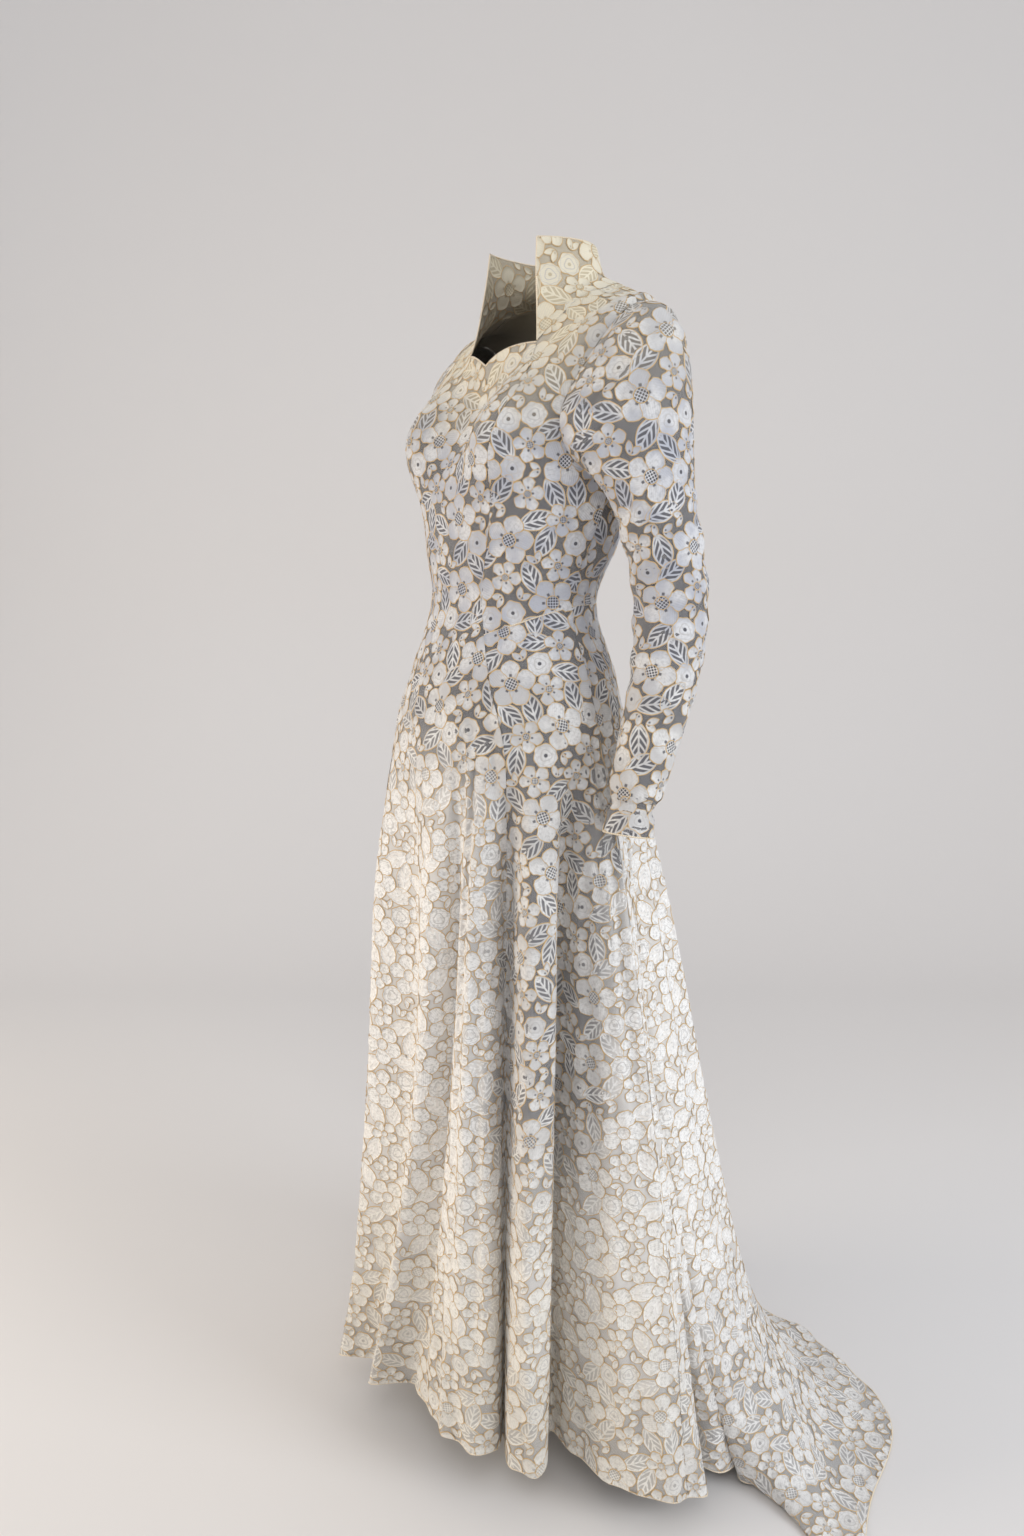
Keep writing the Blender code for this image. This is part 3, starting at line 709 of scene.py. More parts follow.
def grid_faces(rows, columns):
    number = np.arange(rows * columns).reshape(rows, columns)
    corners = [number[:-1, :-1], number[1:, :-1], number[1:, 1:], number[:-1, 1:]]
    return np.stack(corners, axis=-1).reshape(-1, 4)


def quad_areas(points, faces):
    """The area of each quad, from its two diagonals. Flat points get a third coordinate."""
    if points.shape[-1] == 2:
        points = np.concatenate([points, np.zeros((len(points), 1))], axis=-1)
    a, b, c, d = (points[faces[:, k]] for k in range(4))
    return 0.5 * np.linalg.norm(np.cross(c - a, d - b), axis=-1)


def lay_flat(points):
    """The grid laid flat in metres, by Blender's own unwrap with the least stretch."""
    rows, columns = points.shape[:2]
    faces = grid_faces(rows, columns)
    worn = points.reshape(-1, 3)
    mesh = new_mesh("to_flatten", worn, faces)
    mesh.uv_layers.new(name="flat")
    piece = in_scene("to_flatten", mesh)
    bpy.context.view_layer.objects.active = piece
    piece.select_set(True)
    bpy.ops.object.mode_set(mode="EDIT")
    bpy.ops.mesh.select_all(action="SELECT")
    bpy.ops.uv.unwrap(method="ANGLE_BASED", fill_holes=False, margin=0.0)
    bpy.ops.uv.unwrap(
        method="MINIMUM_STRETCH", fill_holes=False, margin=0.0, iterations=FLATTEN_STEPS
    )
    bpy.ops.object.mode_set(mode="OBJECT")
    uvs = np.empty(len(mesh.loops) * 2, np.float32)
    mesh.uv_layers["flat"].data.foreach_get("uv", uvs)
    flat = np.zeros((rows * columns, 2))
    flat[corner_points(mesh)] = uvs.reshape(-1, 2)
    bpy.data.objects.remove(piece)
    flat *= math.sqrt(quad_areas(worn, faces).sum() / quad_areas(flat, faces).sum())
    flat = flat.reshape(rows, columns, 2)
    down = np.diff(flat, axis=0).sum(axis=(0, 1))
    right = np.diff(flat, axis=1).sum(axis=(0, 1))
    if down[0] * right[1] - down[1] * right[0] < 0:
        flat[..., 0] *= -1
        down[0] *= -1
    turn = -math.pi / 2 - math.atan2(down[1], down[0])
    spin = np.array([[math.cos(turn), math.sin(turn)], [-math.sin(turn), math.cos(turn)]])
    flat = flat @ spin
    return flat - (flat.min(axis=(0, 1)) + flat.max(axis=(0, 1))) / 2


print("grids are laid flat in", FLATTEN_STEPS, "steps")

# %% [markdown]
# ## Small creases
#
# Cloth is never smooth between its main folds, and the CAD walls leave out what is only a few
# millimetres high. A few sine waves add it: ripples down the skirt, and creases on the sleeve
# at the shoulder, the elbow and the wrist, where the sleeve also narrows. A ripple moves the
# cloth level and straight out from the gown's axis, so that two pieces stay together at a seam.

# %% The creases, and every grid in its place
RIPPLE = 0.0026
RIPPLE_COUNTS = (29.0, 43.0)
ELBOW_CREASE = 0.0034
WRIST_CREASE = 0.0030
WRIST_PINCH = 0.0045
PINCH_PLACE = 0.91
PINCH_REACH = 0.035
# The sleeve's groups of creases: the middle and the reach of each, as parts of the way down, the
# height, how many there would be over the whole sleeve, and the slant.
SLEEVE_CREASES = (
    (0.16, 0.07, 0.6 * ELBOW_CREASE, 16.0, 2.0),
    (0.52, 0.10, ELBOW_CREASE, 17.0, 1.0),
    (0.66, 0.08, 0.7 * ELBOW_CREASE, 20.0, -1.0),
    (0.92, 0.06, WRIST_CREASE, 20.0, 2.0),
)
SLEEVE_COLUMNS = 36
SLEEVE_STEPS = 6
PLACKET_COLUMNS = 9
MIRROR = np.array([-1.0, 1.0, 1.0])


def skirt_ripples(angle, level):
    """Slight waves between the main folds, from the hip down."""
    turn = np.radians(angle)
    few, many = RIPPLE_COUNTS
    wave = np.sin(few * turn + 0.6 * level) + np.sin(many * turn + 1.7 - 0.9 * level)
    return RIPPLE * wave * np.clip((level - HIP + 0.8) / 2.0, 0.0, 1.0)


def sleeve_creases(rows, columns):
    """Slanting creases, highest on the sleeve's outer side, and the narrowing at the wrist."""
    down = np.linspace(0.0, 1.0, rows)[:, None]
    turn = np.linspace(0.0, 2 * math.pi, columns)[None]
    waves = 0.0
    for middle, spread, high, count, slant in SLEEVE_CREASES:
        phase = 2 * math.pi * count * down + slant * turn + 1.3 * np.sin(turn + 9.0 * middle)
        inner = 0.65 - 0.35 * np.cos(turn + 0.7)
        waves = waves + high * inner * np.sin(phase) * np.exp(-(((down - middle) / spread) ** 2))
    return waves - WRIST_PINCH * np.exp(-(((down - PINCH_PLACE) / PINCH_REACH) ** 2))


def placket_points(rows, columns):
    """The plain strip over the back's hidden fastening: its outer surface, on the panels."""
    small = 0.5
    step = gown_point(BACK + small, rows) - gown_point(BACK - small, rows)
    half_turn = PLACKET_WIDTH / 2 / np.linalg.norm(step, axis=-1)
    angle = BACK + half_turn[:, None] * np.linspace(-1.0, 1.0, columns)
    points = gown_point(angle, np.repeat(rows[:, None], columns, axis=1))
    return points + (SEAM + WALL) * grid_out(points)


CLOTH = {}
for name, (angle, level) in PATCHES.items():
    points = gown_point(angle, level)
    aside = unit(points * np.array([1.0, 1.0, 0.0]))
    CLOTH[name] = points + skirt_ripples(angle, level)[..., None] * aside
sleeve = sleeve_grid(SLEEVE_COLUMNS, CAP_ROWS)
sleeve = curve_through(sleeve, finer(np.arange(len(sleeve)), SLEEVE_STEPS))
# The sleeve's columns start at its inner side, so that the seam of the lace lies there.
half = SLEEVE_COLUMNS // 2
order = (half - np.arange(SLEEVE_COLUMNS + 1)) % SLEEVE_COLUMNS
sleeve = sleeve[:, order]
sleeve = sleeve + sleeve_creases(*sleeve.shape[:2])[..., None] * grid_out(sleeve)
sleeve[:, 0] = sleeve[:, -1]
CLOTH["sleeve_left"] = sleeve
CLOTH["sleeve_right"] = (sleeve * MIRROR)[:, ::-1]
placket_rows = [collar_levels(), bodice_levels()[1:], skirt_levels()[1:PLACKET_SKIRT_ROWS]]
placket_rows = finer(np.concatenate(placket_rows), ROW_STEPS)
CLOTH["back_placket"] = placket_points(placket_rows, PLACKET_COLUMNS)
print("pieces", {name: points.shape[:2] for name, points in CLOTH.items()})

# %% Lay every grid flat
FLAT = {}
for name, points in CLOTH.items():
    twin = name.replace("right", "left")
    same = twin != name and CLOTH[twin].shape == points.shape
    if same and np.allclose(CLOTH[twin][:, ::-1] * MIRROR, points):
        FLAT[name] = FLAT[twin][:, ::-1] * MIRROR[:2]
    else:
        FLAT[name] = lay_flat(points)
    faces = grid_faces(*points.shape[:2])
    change = quad_areas(FLAT[name].reshape(-1, 2), faces) / quad_areas(points.reshape(-1, 3), faces)
    size = np.ptp(FLAT[name], axis=(0, 1))
    print(name, "flat", size.round(3), "stretch", np.percentile(change, (5, 95)).round(2))

# %% [markdown]
# ## Writing node trees as plain expressions
#
# Materials and Geometry Nodes trees are both graphs of small nodes. Typing each link by hand is
# slow to read, so one class wraps a socket and lets Python's own operators add Math nodes. Every
# other node comes from one method that takes the node's type, its settings and its inputs.

# %% A small language for nodes
class Wire:
    """A socket of a node tree. Arithmetic on it adds Math nodes to the tree."""

    def __init__(self, tree, socket):
        self.tree = tree
        self.socket = socket

    def math(self, operation, *others):
        return add_node(self.tree, "ShaderNodeMath", {"operation": operation}, [self, *others])

    def __add__(self, other):
        return self.math("ADD", other)

    def __sub__(self, other):
        return self.math("SUBTRACT", other)

    def __mul__(self, other):
        return self.math("MULTIPLY", other)

    def __rsub__(self, other):
        return (self * -1.0) + other

    def __gt__(self, other):
        return self.math("GREATER_THAN", other)

    __radd__ = __add__
    __rmul__ = __mul__

    def part(self, name):
        """Another output of the same node."""
        return Wire(self.tree, self.socket.node.outputs[name])


def plug(tree, socket, value):
    """Puts a value, an object or a link into an input."""
    if isinstance(value, Wire):
        tree.links.new(value.socket, socket)
    else:
        socket.default_value = value


def add_node(tree, kind, settings=None, inputs=()):
    """A node with its settings, then its inputs by name or in order. Returns its first output."""
    node = tree.nodes.new(kind)
    for key, value in (settings or {}).items():
        setattr(node, key, value)
    pairs = inputs.items() if isinstance(inputs, dict) else enumerate(inputs)
    for key, value in pairs:
        plug(tree, node.inputs[key], value)
    shown = [socket for socket in node.outputs if socket.enabled]
    return Wire(tree, shown[0]) if shown else node


print("operators:", [name for name in vars(Wire) if name.startswith("__")][3:])

# %% [markdown]
# ## The lace's own materials
#
# Real cotton lace is matt and slightly warm. A petal is dense satin stitch, so light catches its
# threads; a leaf is mostly open, with thick veins across the net, whose gaps carry painted shade in
# the fitted parts; and a thin tan thread outlines each motif. Each petal, leaf and rose carries its
# own small UV map, from -1 to 1 across it, and the patterns are worked out from that: veins on a
# leaf, a lattice in a flower's heart, rings in a rose. Loose fibres catch light at a low angle,
# which is what sheen is for.

# %% A material from a function of its tree
BUMP_STRENGTH = 0.6
BUMP_HEIGHT = 0.0006
SHEEN_ROUGHNESS = 0.45


def make_material(name, roughness, paint, sheen=0.0):
    """A cloth material. The function gives its colour, and may give its height and alpha."""
    material = bpy.data.materials.new(name)
    material.use_nodes = True
    tree = material.node_tree
    tree.nodes.clear()
    colour, height, alpha = paint(tree)
    inputs = {"Base Color": colour, "Roughness": roughness}
    if height is not None:
        bump = {"Strength": BUMP_STRENGTH, "Distance": BUMP_HEIGHT, "Height": height}
        inputs["Normal"] = add_node(tree, "ShaderNodeBump", {}, bump)
    if alpha is not None:
        inputs["Alpha"] = alpha
    if sheen:
        inputs["Sheen Weight"] = sheen
        inputs["Sheen Roughness"] = SHEEN_ROUGHNESS
    surface = add_node(tree, "ShaderNodeBsdfPrincipled", {}, inputs)
    add_node(tree, "ShaderNodeOutputMaterial", {}, {"Surface": surface})
    return material


def mixed(tree, factor, low, high):
    """A colour between two others."""
    node = tree.nodes.new("ShaderNodeMix")
    node.data_type = "RGBA"
    for socket, value in ((0, factor), (6, low), (7, high)):
        plug(tree, node.inputs[socket], value)
    return Wire(tree, node.outputs[2])


def uv_parts(tree, name):
    """The two coordinates of a UV map."""
    uv = add_node(tree, "ShaderNodeUVMap", {"uv_map": name})
    split = add_node(tree, "ShaderNodeSeparateXYZ", {}, [uv])
    return split.part("X"), split.part("Y")


def place_on_gown(tree):
    """Where a point is in the gown's own space: across, from front to back, and up."""
    where = add_node(tree, "ShaderNodeTexCoord").part("Object")
    split = add_node(tree, "ShaderNodeSeparateXYZ", {}, [where])
    return split.part("X"), split.part("Y"), split.part("Z")


def mottle(tree, size, detail=2.0):
    """Slow variation over the cloth, from 0 to 1, read in the gown's own space."""
    where = add_node(tree, "ShaderNodeTexCoord").part("Object")
    noise = {"Vector": where, "Scale": 1.0 / size, "Detail": detail}
    return add_node(tree, "ShaderNodeTexNoise", {}, noise).part("Fac")


def smooth_step(tree, value, low, high):
    return add_node(
        tree, "ShaderNodeMapRange", {"interpolation_type": "SMOOTHSTEP"},
        {"Value": value, "From Min": low, "From Max": high},
    )


# %% The colours of the thread and of what shows through the net, with painted shade and warm light
PETAL = (0.90, 0.88, 0.845, 1.0)
PETAL_SHADE = (0.60, 0.58, 0.545, 1.0)
# Painted shade on the thread over the dark inside: bluish grey higher up in the fitted parts, dull
# grey lower down.
PETAL_COOL_SHADE = (0.43, 0.44, 0.49, 1.0)
PETAL_DULL_SHADE = (0.53, 0.51, 0.49, 1.0)
# The collar's own yellowing, together with painted warm light.
PETAL_WARM = (0.80, 0.71, 0.51, 1.0)
GREY = (0.50, 0.475, 0.45, 1.0)
TAN = (0.64, 0.42, 0.18, 1.0)
TAN_PALE = (0.74, 0.54, 0.31, 1.0)
# What shows through the net, painted: the shade of the gown's dark inside, the same made warm on the
# collar by its yellowing and painted warm light, and the pale inside where the cloth hangs free.
BEHIND_PAINTED_SHADE = (0.052, 0.050, 0.060, 1.0)
BEHIND_PALE = (0.80, 0.76, 0.71, 1.0)
BEHIND_WARM = (0.60, 0.50, 0.33, 1.0)
# Where the painted shade and the warm tone change, in metres. The centre of the band of painted
# shade is a place across and from front to back. Each other pair says where a change starts and
# where it ends: heights, with the shoulders at 0, depths, or distances from the gown's middle or
# from the band's centre.
BAND_CENTRE = (0.155, -0.115)
BAND_REACH = (0.105, 0.030)
BAND_HEIGHTS = (-1.25, -0.90)
BAND_STRENGTH = 0.92
HEM_HEIGHTS = (-1.12, -1.36)
HEM_STRENGTH = 0.60
CUFF_ACROSS = (0.180, 0.200)
CUFF_HEIGHTS = (-0.68, -0.62)
HIP_HEIGHTS = (-0.44, -0.66)
SLEEVE_ACROSS = (0.11, 0.17)
COLLAR_HEIGHTS = (-0.13, 0.03)
LOW_FRONT_HEIGHTS = (-0.85, -1.30)
LOW_FRONT_DEPTHS = (0.08, -0.10)
LOW_FRONT_WARMTH = 0.35
LOWER_HEIGHTS = (-0.34, -0.48)
WARM_SHARE = 0.85


def paleness(tree):
    """How pale the gaps are: 0 where painted shade stands for the dark inside, in the fitted parts
    and a band, 1 where cloth hangs free.
    """
    across, deep, up = place_on_gown(tree)
    cloudy = mottle(tree, 0.08) - 0.5
    # Painted shade of the dark inside: in a band down each side of the front, in the fitted parts
    # above the hip, at the cuffs and, less strongly, towards the hem.
    aside, ahead = across.math("ABSOLUTE") - BAND_CENTRE[0], deep - BAND_CENTRE[1]
    far = (aside * aside + ahead * ahead).math("SQRT")
    band = smooth_step(tree, far + cloudy * 0.06, *BAND_REACH)
    band = band * smooth_step(tree, up, *BAND_HEIGHTS)
    low = smooth_step(tree, up + cloudy * 0.30, *HEM_HEIGHTS)
    cuff = smooth_step(tree, across.math("ABSOLUTE"), *CUFF_ACROSS)
    cuff = cuff * smooth_step(tree, up, *CUFF_HEIGHTS)
    free = smooth_step(tree, up + cloudy * 0.20, *HIP_HEIGHTS) * (1 - cuff)
    return free * (1 - band * BAND_STRENGTH) * (1 - low * HEM_STRENGTH)


def warmth(tree):
    """How yellow the thread looks: the collar's yellowing and painted warm light, 1 on the collar,
    less on the upper chest and the low front.
    """
    across, deep, up = place_on_gown(tree)
    sleeve = smooth_step(tree, across.math("ABSOLUTE"), *SLEEVE_ACROSS)
    cloudy = mottle(tree, 0.09) * 0.10
    top = smooth_step(tree, up + cloudy, *COLLAR_HEIGHTS) * (1 - sleeve * 0.7)
    low = smooth_step(tree, up, *LOW_FRONT_HEIGHTS) * smooth_step(tree, deep, *LOW_FRONT_DEPTHS)
    return top + low * LOW_FRONT_WARMTH


def thread_colour(tree):
    """Ivory cotton, a little mottled: painted shade in the fitted parts, yellower on the collar from
    its yellowing and painted warm light.
    """
    grain = smooth_step(tree, mottle(tree, 0.0035, 3.0), 0.42, 0.70)
    plain = mixed(tree, grain, PETAL, PETAL_SHADE)
    # Painted shade: the thread turns greyer and bluer, in patches, over the dark inside of the
    # fitted parts, and duller grey lower down.
    cloudy = smooth_step(tree, mottle(tree, 0.035), 0.36, 0.62)
    cool_shade = (1 - paleness(tree)) * (0.45 + 0.50 * cloudy)
    _, _, up = place_on_gown(tree)
    lower = smooth_step(tree, up, *LOWER_HEIGHTS)
    plain = mixed(tree, cool_shade, plain, mixed(tree, lower, PETAL_COOL_SHADE, PETAL_DULL_SHADE))
    # The collar's own yellowing with painted warm light, less on the upper chest and the low front.
    return mixed(tree, warmth(tree) * WARM_SHARE, plain, PETAL_WARM)


def behind(tree):
    """What shows through the open net: painted shade of the dark inside in the fitted parts, pale
    where it hangs free.
    """
    dark = mixed(tree, warmth(tree) * WARM_SHARE, BEHIND_PAINTED_SHADE, BEHIND_WARM)
    return mixed(tree, paleness(tree), dark, BEHIND_PALE)


def satin(u, v, threads):
    """Fine satin threads across a petal: a height from 0 to 1."""
    return ((u * 0.5 + v) * threads).math("SINE") * 0.5 + 0.5


# %% The petals, hearts, leaves, roses and outlining thread
# How often each pattern repeats over a motif's own small map.
PETAL_THREADS = 30.0
ROSE_THREADS = 40.0
SPECKS = 7.5
LATTICE = 6.0
VEINS = 14.5
TWISTS = 120.0


def paint_petal(tree):
    u, v = uv_parts(tree, "motif")
    near_heart = smooth_step(tree, (u + 0.42).math("ABSOLUTE"), 0.20, 0.07)
    specks = smooth_step(tree, (v * SPECKS).math("COSINE"), 0.35, 0.85) * near_heart
    # Painted shade along the middle crease of each petal, towards its base.
    crease_shade = smooth_step(tree, v.math("ABSOLUTE"), 0.10, 0.02) * smooth_step(tree, u, 0.5, -0.2)
    threads = satin(u, v, PETAL_THREADS)
    colour = mixed(tree, threads * 0.20 + crease_shade * 0.15, thread_colour(tree), GREY)
    colour = mixed(tree, specks * 0.85, colour, behind(tree))
    return colour, threads * 0.5 + 0.5 * (1 - specks), None


def paint_heart(tree):
    u, v = uv_parts(tree, "motif")
    lattice = ((u + v) * LATTICE).math("SINE") * ((u - v) * LATTICE).math("SINE")
    holes = smooth_step(tree, lattice.math("ABSOLUTE"), 0.30, 0.50)
    colour = mixed(tree, holes * 0.92, thread_colour(tree), behind(tree))
    return colour, 1 - holes, None


def paint_leaf(tree):
    u, v = uv_parts(tree, "motif")
    side = v.math("ABSOLUTE")
    slanted = u - side * 1.1 - side * side
    vein = smooth_step(tree, (slanted * VEINS).math("SINE"), 0.0, 0.60)
    rib = smooth_step(tree, side, 0.065, 0.030)
    border = smooth_step(tree, (u * u + v * v * 3.4).math("SQRT"), 0.70, 0.80)
    thread = vein.math("MAXIMUM", rib).math("MAXIMUM", border)
    colour = mixed(tree, 0.14 + 0.86 * thread, behind(tree), thread_colour(tree))
    return colour, thread, None


def paint_rose(tree):
    u, v = uv_parts(tree, "motif")
    radius = (u * u + v * v).math("SQRT")
    turn = v.math("ARCTAN2", u)
    inner = radius + (turn * 3.0 + 1.0).math("SINE") * 0.050
    outer = radius + (turn * 7.0).math("COSINE") * 0.035
    inner = smooth_step(tree, (inner - 0.40).math("ABSOLUTE"), 0.060, 0.015)
    outer = smooth_step(tree, (outer - 0.71).math("ABSOLUTE"), 0.050, 0.010)
    eye = smooth_step(tree, radius, 0.17, 0.11)
    threads = satin(u, v, ROSE_THREADS)
    colour = mixed(tree, threads * 0.25, thread_colour(tree), GREY)
    colour = mixed(tree, inner.math("MAXIMUM", outer * 0.75) * 0.7, colour, GREY)
    colour = mixed(tree, eye * 0.92, colour, behind(tree))
    return colour, 1 - inner.math("MAXIMUM", eye) * 0.8, None


def paint_thread(tree):
    u, v = uv_parts(tree, "motif")
    twist = ((u + v) * TWISTS).math("SINE") * 0.5 + 0.5
    return mixed(tree, mottle(tree, 0.03), TAN, TAN_PALE), twist, None


# %% The net
NET_CELL = 0.0020
NET_THREAD = (0.78, 0.75, 0.71, 1.0)
NET_OPENNESS = 0.10


def paint_net(tree):
    """A net of fine threads on a diamond grid: a colour, a height, and an alpha with holes."""
    x, y = uv_parts(tree, "flat")
    scale = math.pi / NET_CELL
    warp = ((x + y) * scale).math("SINE").math("ABSOLUTE")
    weft = ((x - y) * scale).math("SINE").math("ABSOLUTE")
    hole = smooth_step(tree, warp.math("MINIMUM", weft), 0.06, 0.34)
    # The holes show the painted shade and light of the gown's inside.
    colour = mixed(tree, 0.14 + 0.86 * hole, NET_THREAD, behind(tree))
    return colour, 1 - hole, 1 - hole * NET_OPENNESS


LACE = {
    "petal": make_material("lace_petal", 0.82, paint_petal, sheen=0.30),
    "heart": make_material("lace_heart", 0.85, paint_heart, sheen=0.10),
    "leaf": make_material("lace_leaf", 0.85, paint_leaf, sheen=0.15),
    "rose": make_material("lace_rose", 0.85, paint_rose, sheen=0.25),
    "thread": make_material("outline_thread", 0.70, paint_thread),
}
NET = make_material("net", 0.9, paint_net, sheen=0.5)
print("materials", [m.name for m in (*LACE.values(), NET)])

# %% [markdown]
# ## The net ground
#
# Under the motifs is a machine-made net. A single sheet would do for a picture, but cloth has
# two faces, and a thin closed wall looks right from inside the collar too. So each grid gets an
# outer face, an inner face a little further in, and a rim that joins them all round.

# %% The net wall of each piece
NET_WALL = 0.0006
NET_SINK = 0.0002


def worn_frame(name):
    """The grid's points, its outward directions and its flat copy."""
    points = CLOTH[name]
    out = grid_out(points)
    if name.startswith("sleeve"):
        seam = unit(out[:, 0] + out[:, -1])
        out[:, 0] = out[:, -1] = seam
    return points, out, FLAT[name]


def rim_faces(rows, columns):
    """The quads that join the outer face's border to the inner one's."""
    number = np.arange(rows * columns).reshape(rows, columns)
    loop = np.concatenate([number[0, :-1], number[:-1, -1], number[-1, :0:-1], number[:0:-1, 0]])
    after = np.roll(loop, -1)
    inner = rows * columns
    return np.stack([loop, after, after + inner, loop + inner], axis=-1)


def mesh_object(name, points, faces, uvs, uv_name, material):
    mesh = new_mesh(name, points, faces)
    add_uvs(mesh, uv_name, uvs)
    mesh.shade_smooth()
    mesh.materials.append(material)
    return in_scene(name, mesh)


def net_wall(name):
    points, out, flat = worn_frame(name)
    rows, columns = points.shape[:2]
    both = np.concatenate([
        (points - depth * out).reshape(-1, 3) for depth in (NET_SINK, NET_SINK + NET_WALL)
    ])
    uvs = np.concatenate([flat.reshape(-1, 2)] * 2)
    outer = grid_faces(rows, columns)
    faces = np.concatenate([outer, outer[:, ::-1] + rows * columns, rim_faces(rows, columns)])
    return mesh_object(f"{name}_net", both, faces, uvs, "flat", NET)


nets = {name: net_wall(name) for name in CLOTH}
print("net walls", sum(len(piece.data.polygons) for piece in nets.values()), "faces")

# %% [markdown]
# ## The motifs of the lace
#
# The lace repeats a handful of motifs: a large and a small flower, a rose, a leaf and a sprig. A
# flower is five petals round a heart, each petal with its own raised outline, so the petals
# overlap as embroidered ones do. Each shape is drawn flat once from a simple rule in polar form.
# A few dozen faces a shape are enough, and all there can be, because thousands of copies are used.

# %% Outlines
def petal_outline(turn):
    """A broad petal with a wavy tip, along the first axis."""
    along, across = np.cos(turn), np.sin(turn)
    tip = 1.0 + 0.055 * np.cos(turn * 5.0) * np.clip(along, 0.0, 1.0)
    narrow = np.where(along < 0, 0.74, 0.92)
    return tip / (np.abs(along) ** 2.2 + (np.abs(across) / narrow) ** 2.2) ** (1 / 2.2)


def leaf_outline(turn):
    """A pointed leaf, twice as long as it is wide, along the first axis."""
    along, across = np.abs(np.cos(turn)), np.abs(np.sin(turn))
    return 1.0 / (along**1.55 + (across / 0.56) ** 1.55) ** (1 / 1.55)


def rose_outline(turn):
    """A ragged round edge."""
    return 0.93 + 0.05 * np.cos(turn * 7.0) + 0.03 * np.sin(turn * 4.0 + 1.0)


def round_outline(turn):
    return np.ones_like(turn)


# %% One shape from its outline
CLOTH_RISE = 0.0003
THREAD_RISE = 0.0005
THREAD_WIDE = 0.0013
THREAD_SLOPE = 0.88
FINISHES = ("petal", "heart", "leaf", "rose", "thread")


def draw_shape(radius, outline, steps, rings, finish, place=(0.0, 0.0), turned=0.0, lift=0.0):
    """A flat shape in metres: a fan and rings inside, then a raised rim with the thread."""
    turn = np.linspace(0.0, 2 * math.pi, steps, endpoint=False)
    reach = outline(turn) * radius
    ray = np.stack([np.cos(turn), np.sin(turn)], axis=-1)
    layers = [(share * (reach - THREAD_WIDE), CLOTH_RISE) for share in rings]
    layers += [(reach - THREAD_SLOPE * THREAD_WIDE, THREAD_RISE), (reach, 0.0)]
    points = [np.array([[0.0, 0.0, 1.4 * CLOTH_RISE]])]
    for far, height in layers:
        points.append(np.column_stack([far[:, None] * ray, np.full(steps, height)]))
    points = np.concatenate(points)
    uvs = points[:, :2] / radius
    number = np.arange(steps)
    after = (number + 1) % steps
    faces = [[0, 1 + j, 1 + k] for j, k in zip(number, after)]
    kinds = [FINISHES.index(finish)] * steps
    for ring in range(len(layers) - 1):
        a, b = 1 + ring * steps, 1 + (ring + 1) * steps
        faces += [[a + j, b + j, b + k, a + k] for j, k in zip(number, after)]
        last = ring == len(layers) - 2
        kinds += [FINISHES.index("thread" if last else finish)] * steps
    c, s = math.cos(turned), math.sin(turned)
    points[:, :2] = points[:, :2] @ np.array([[c, s], [-s, c]])
    return points + np.array([*place, lift]), uvs, faces, kinds


def join_shapes(name, shapes):
    """One motif of several shapes, with the finish of each face as an attribute."""
    points, uvs, faces, kinds = [], [], [], []
    count = 0
    for shape_points, shape_uvs, shape_faces, shape_kinds in shapes:
        points.append(shape_points)
        uvs.append(shape_uvs)
        faces += [[corner + count for corner in face] for face in shape_faces]
        kinds += shape_kinds
        count += len(shape_points)
    mesh = new_mesh(name, np.concatenate(points), faces)
    add_uvs(mesh, "motif", np.concatenate(uvs))
    marks = mesh.attributes.new("finish", "INT", "FACE")
    marks.data.foreach_set("value", np.array(kinds, np.int32))
    mesh.shade_smooth()
    return bpy.data.objects.new(name, mesh)


# %% The five motifs
PETAL_STEP = 0.00012
SPRIG_SPREAD = 0.55


def flower(name, radius, steps, rings, heart, base):
    """Petals round a heart. Each lies a little over the last, as in embroidery."""
    shapes = []
    for k in range(PETALS):
        turned = 2 * math.pi * k / PETALS + 0.10 * math.sin(2.4 * k)
        size = radius * PETAL_LONG * (1.0 + 0.07 * math.cos(1.9 * k))
        far = radius - size
        place = (far * math.cos(turned), far * math.sin(turned))
        lift = base + PETAL_STEP * (k % 3)
        shapes.append(
            draw_shape(size, petal_outline, steps, rings, "petal", place, turned, lift)
        )
    lift = base + 4 * PETAL_STEP
    shapes.append(draw_shape(radius * heart, round_outline, 12, (1.0,), "heart", lift=lift))
    return join_shapes(name, shapes)


def sprig(name, radius, base):
    """Two small solid leaves on one stalk."""
    shapes = []
    for side in (-1, 1):
        turned = side * SPRIG_SPREAD
        place = (0.45 * radius * math.cos(turned) - 0.4 * radius, 0.5 * radius * math.sin(turned))
        lift = base + PETAL_STEP * side
        shapes.append(
            draw_shape(0.6 * radius, leaf_outline, 12, (1.0,), "petal", place, turned, lift)
        )
    return join_shapes(name, shapes)


LARGE, SMALL, ROSE, LEAF, SPRIG = 0.029, 0.020, 0.016, 0.022, 0.014
PETALS = 5
PETAL_LONG = 0.46
LARGE_HEART, SMALL_HEART = 0.30, 0.25
LARGE_BASE, SMALL_BASE, SPRIG_BASE = 0.0003, 0.0002, 0.0004
motif_box = bpy.data.collections.new("motifs")
for motif in (
    flower("motif_0_large", LARGE, 14, (0.5, 1.0), LARGE_HEART, LARGE_BASE),
    flower("motif_1_small", SMALL, 11, (1.0,), SMALL_HEART, SMALL_BASE),
    join_shapes("motif_2_rose", [draw_shape(ROSE, rose_outline, 28, (0.5, 1.0), "rose")]),
    join_shapes("motif_3_leaf", [draw_shape(LEAF, leaf_outline, 24, (0.55, 1.0), "leaf")]),
    sprig("motif_4_sprig", SPRIG, SPRIG_BASE),
):
    motif_box.objects.link(motif)
    print(motif.name, sum(len(face.vertices) - 2 for face in motif.data.polygons), "triangles")

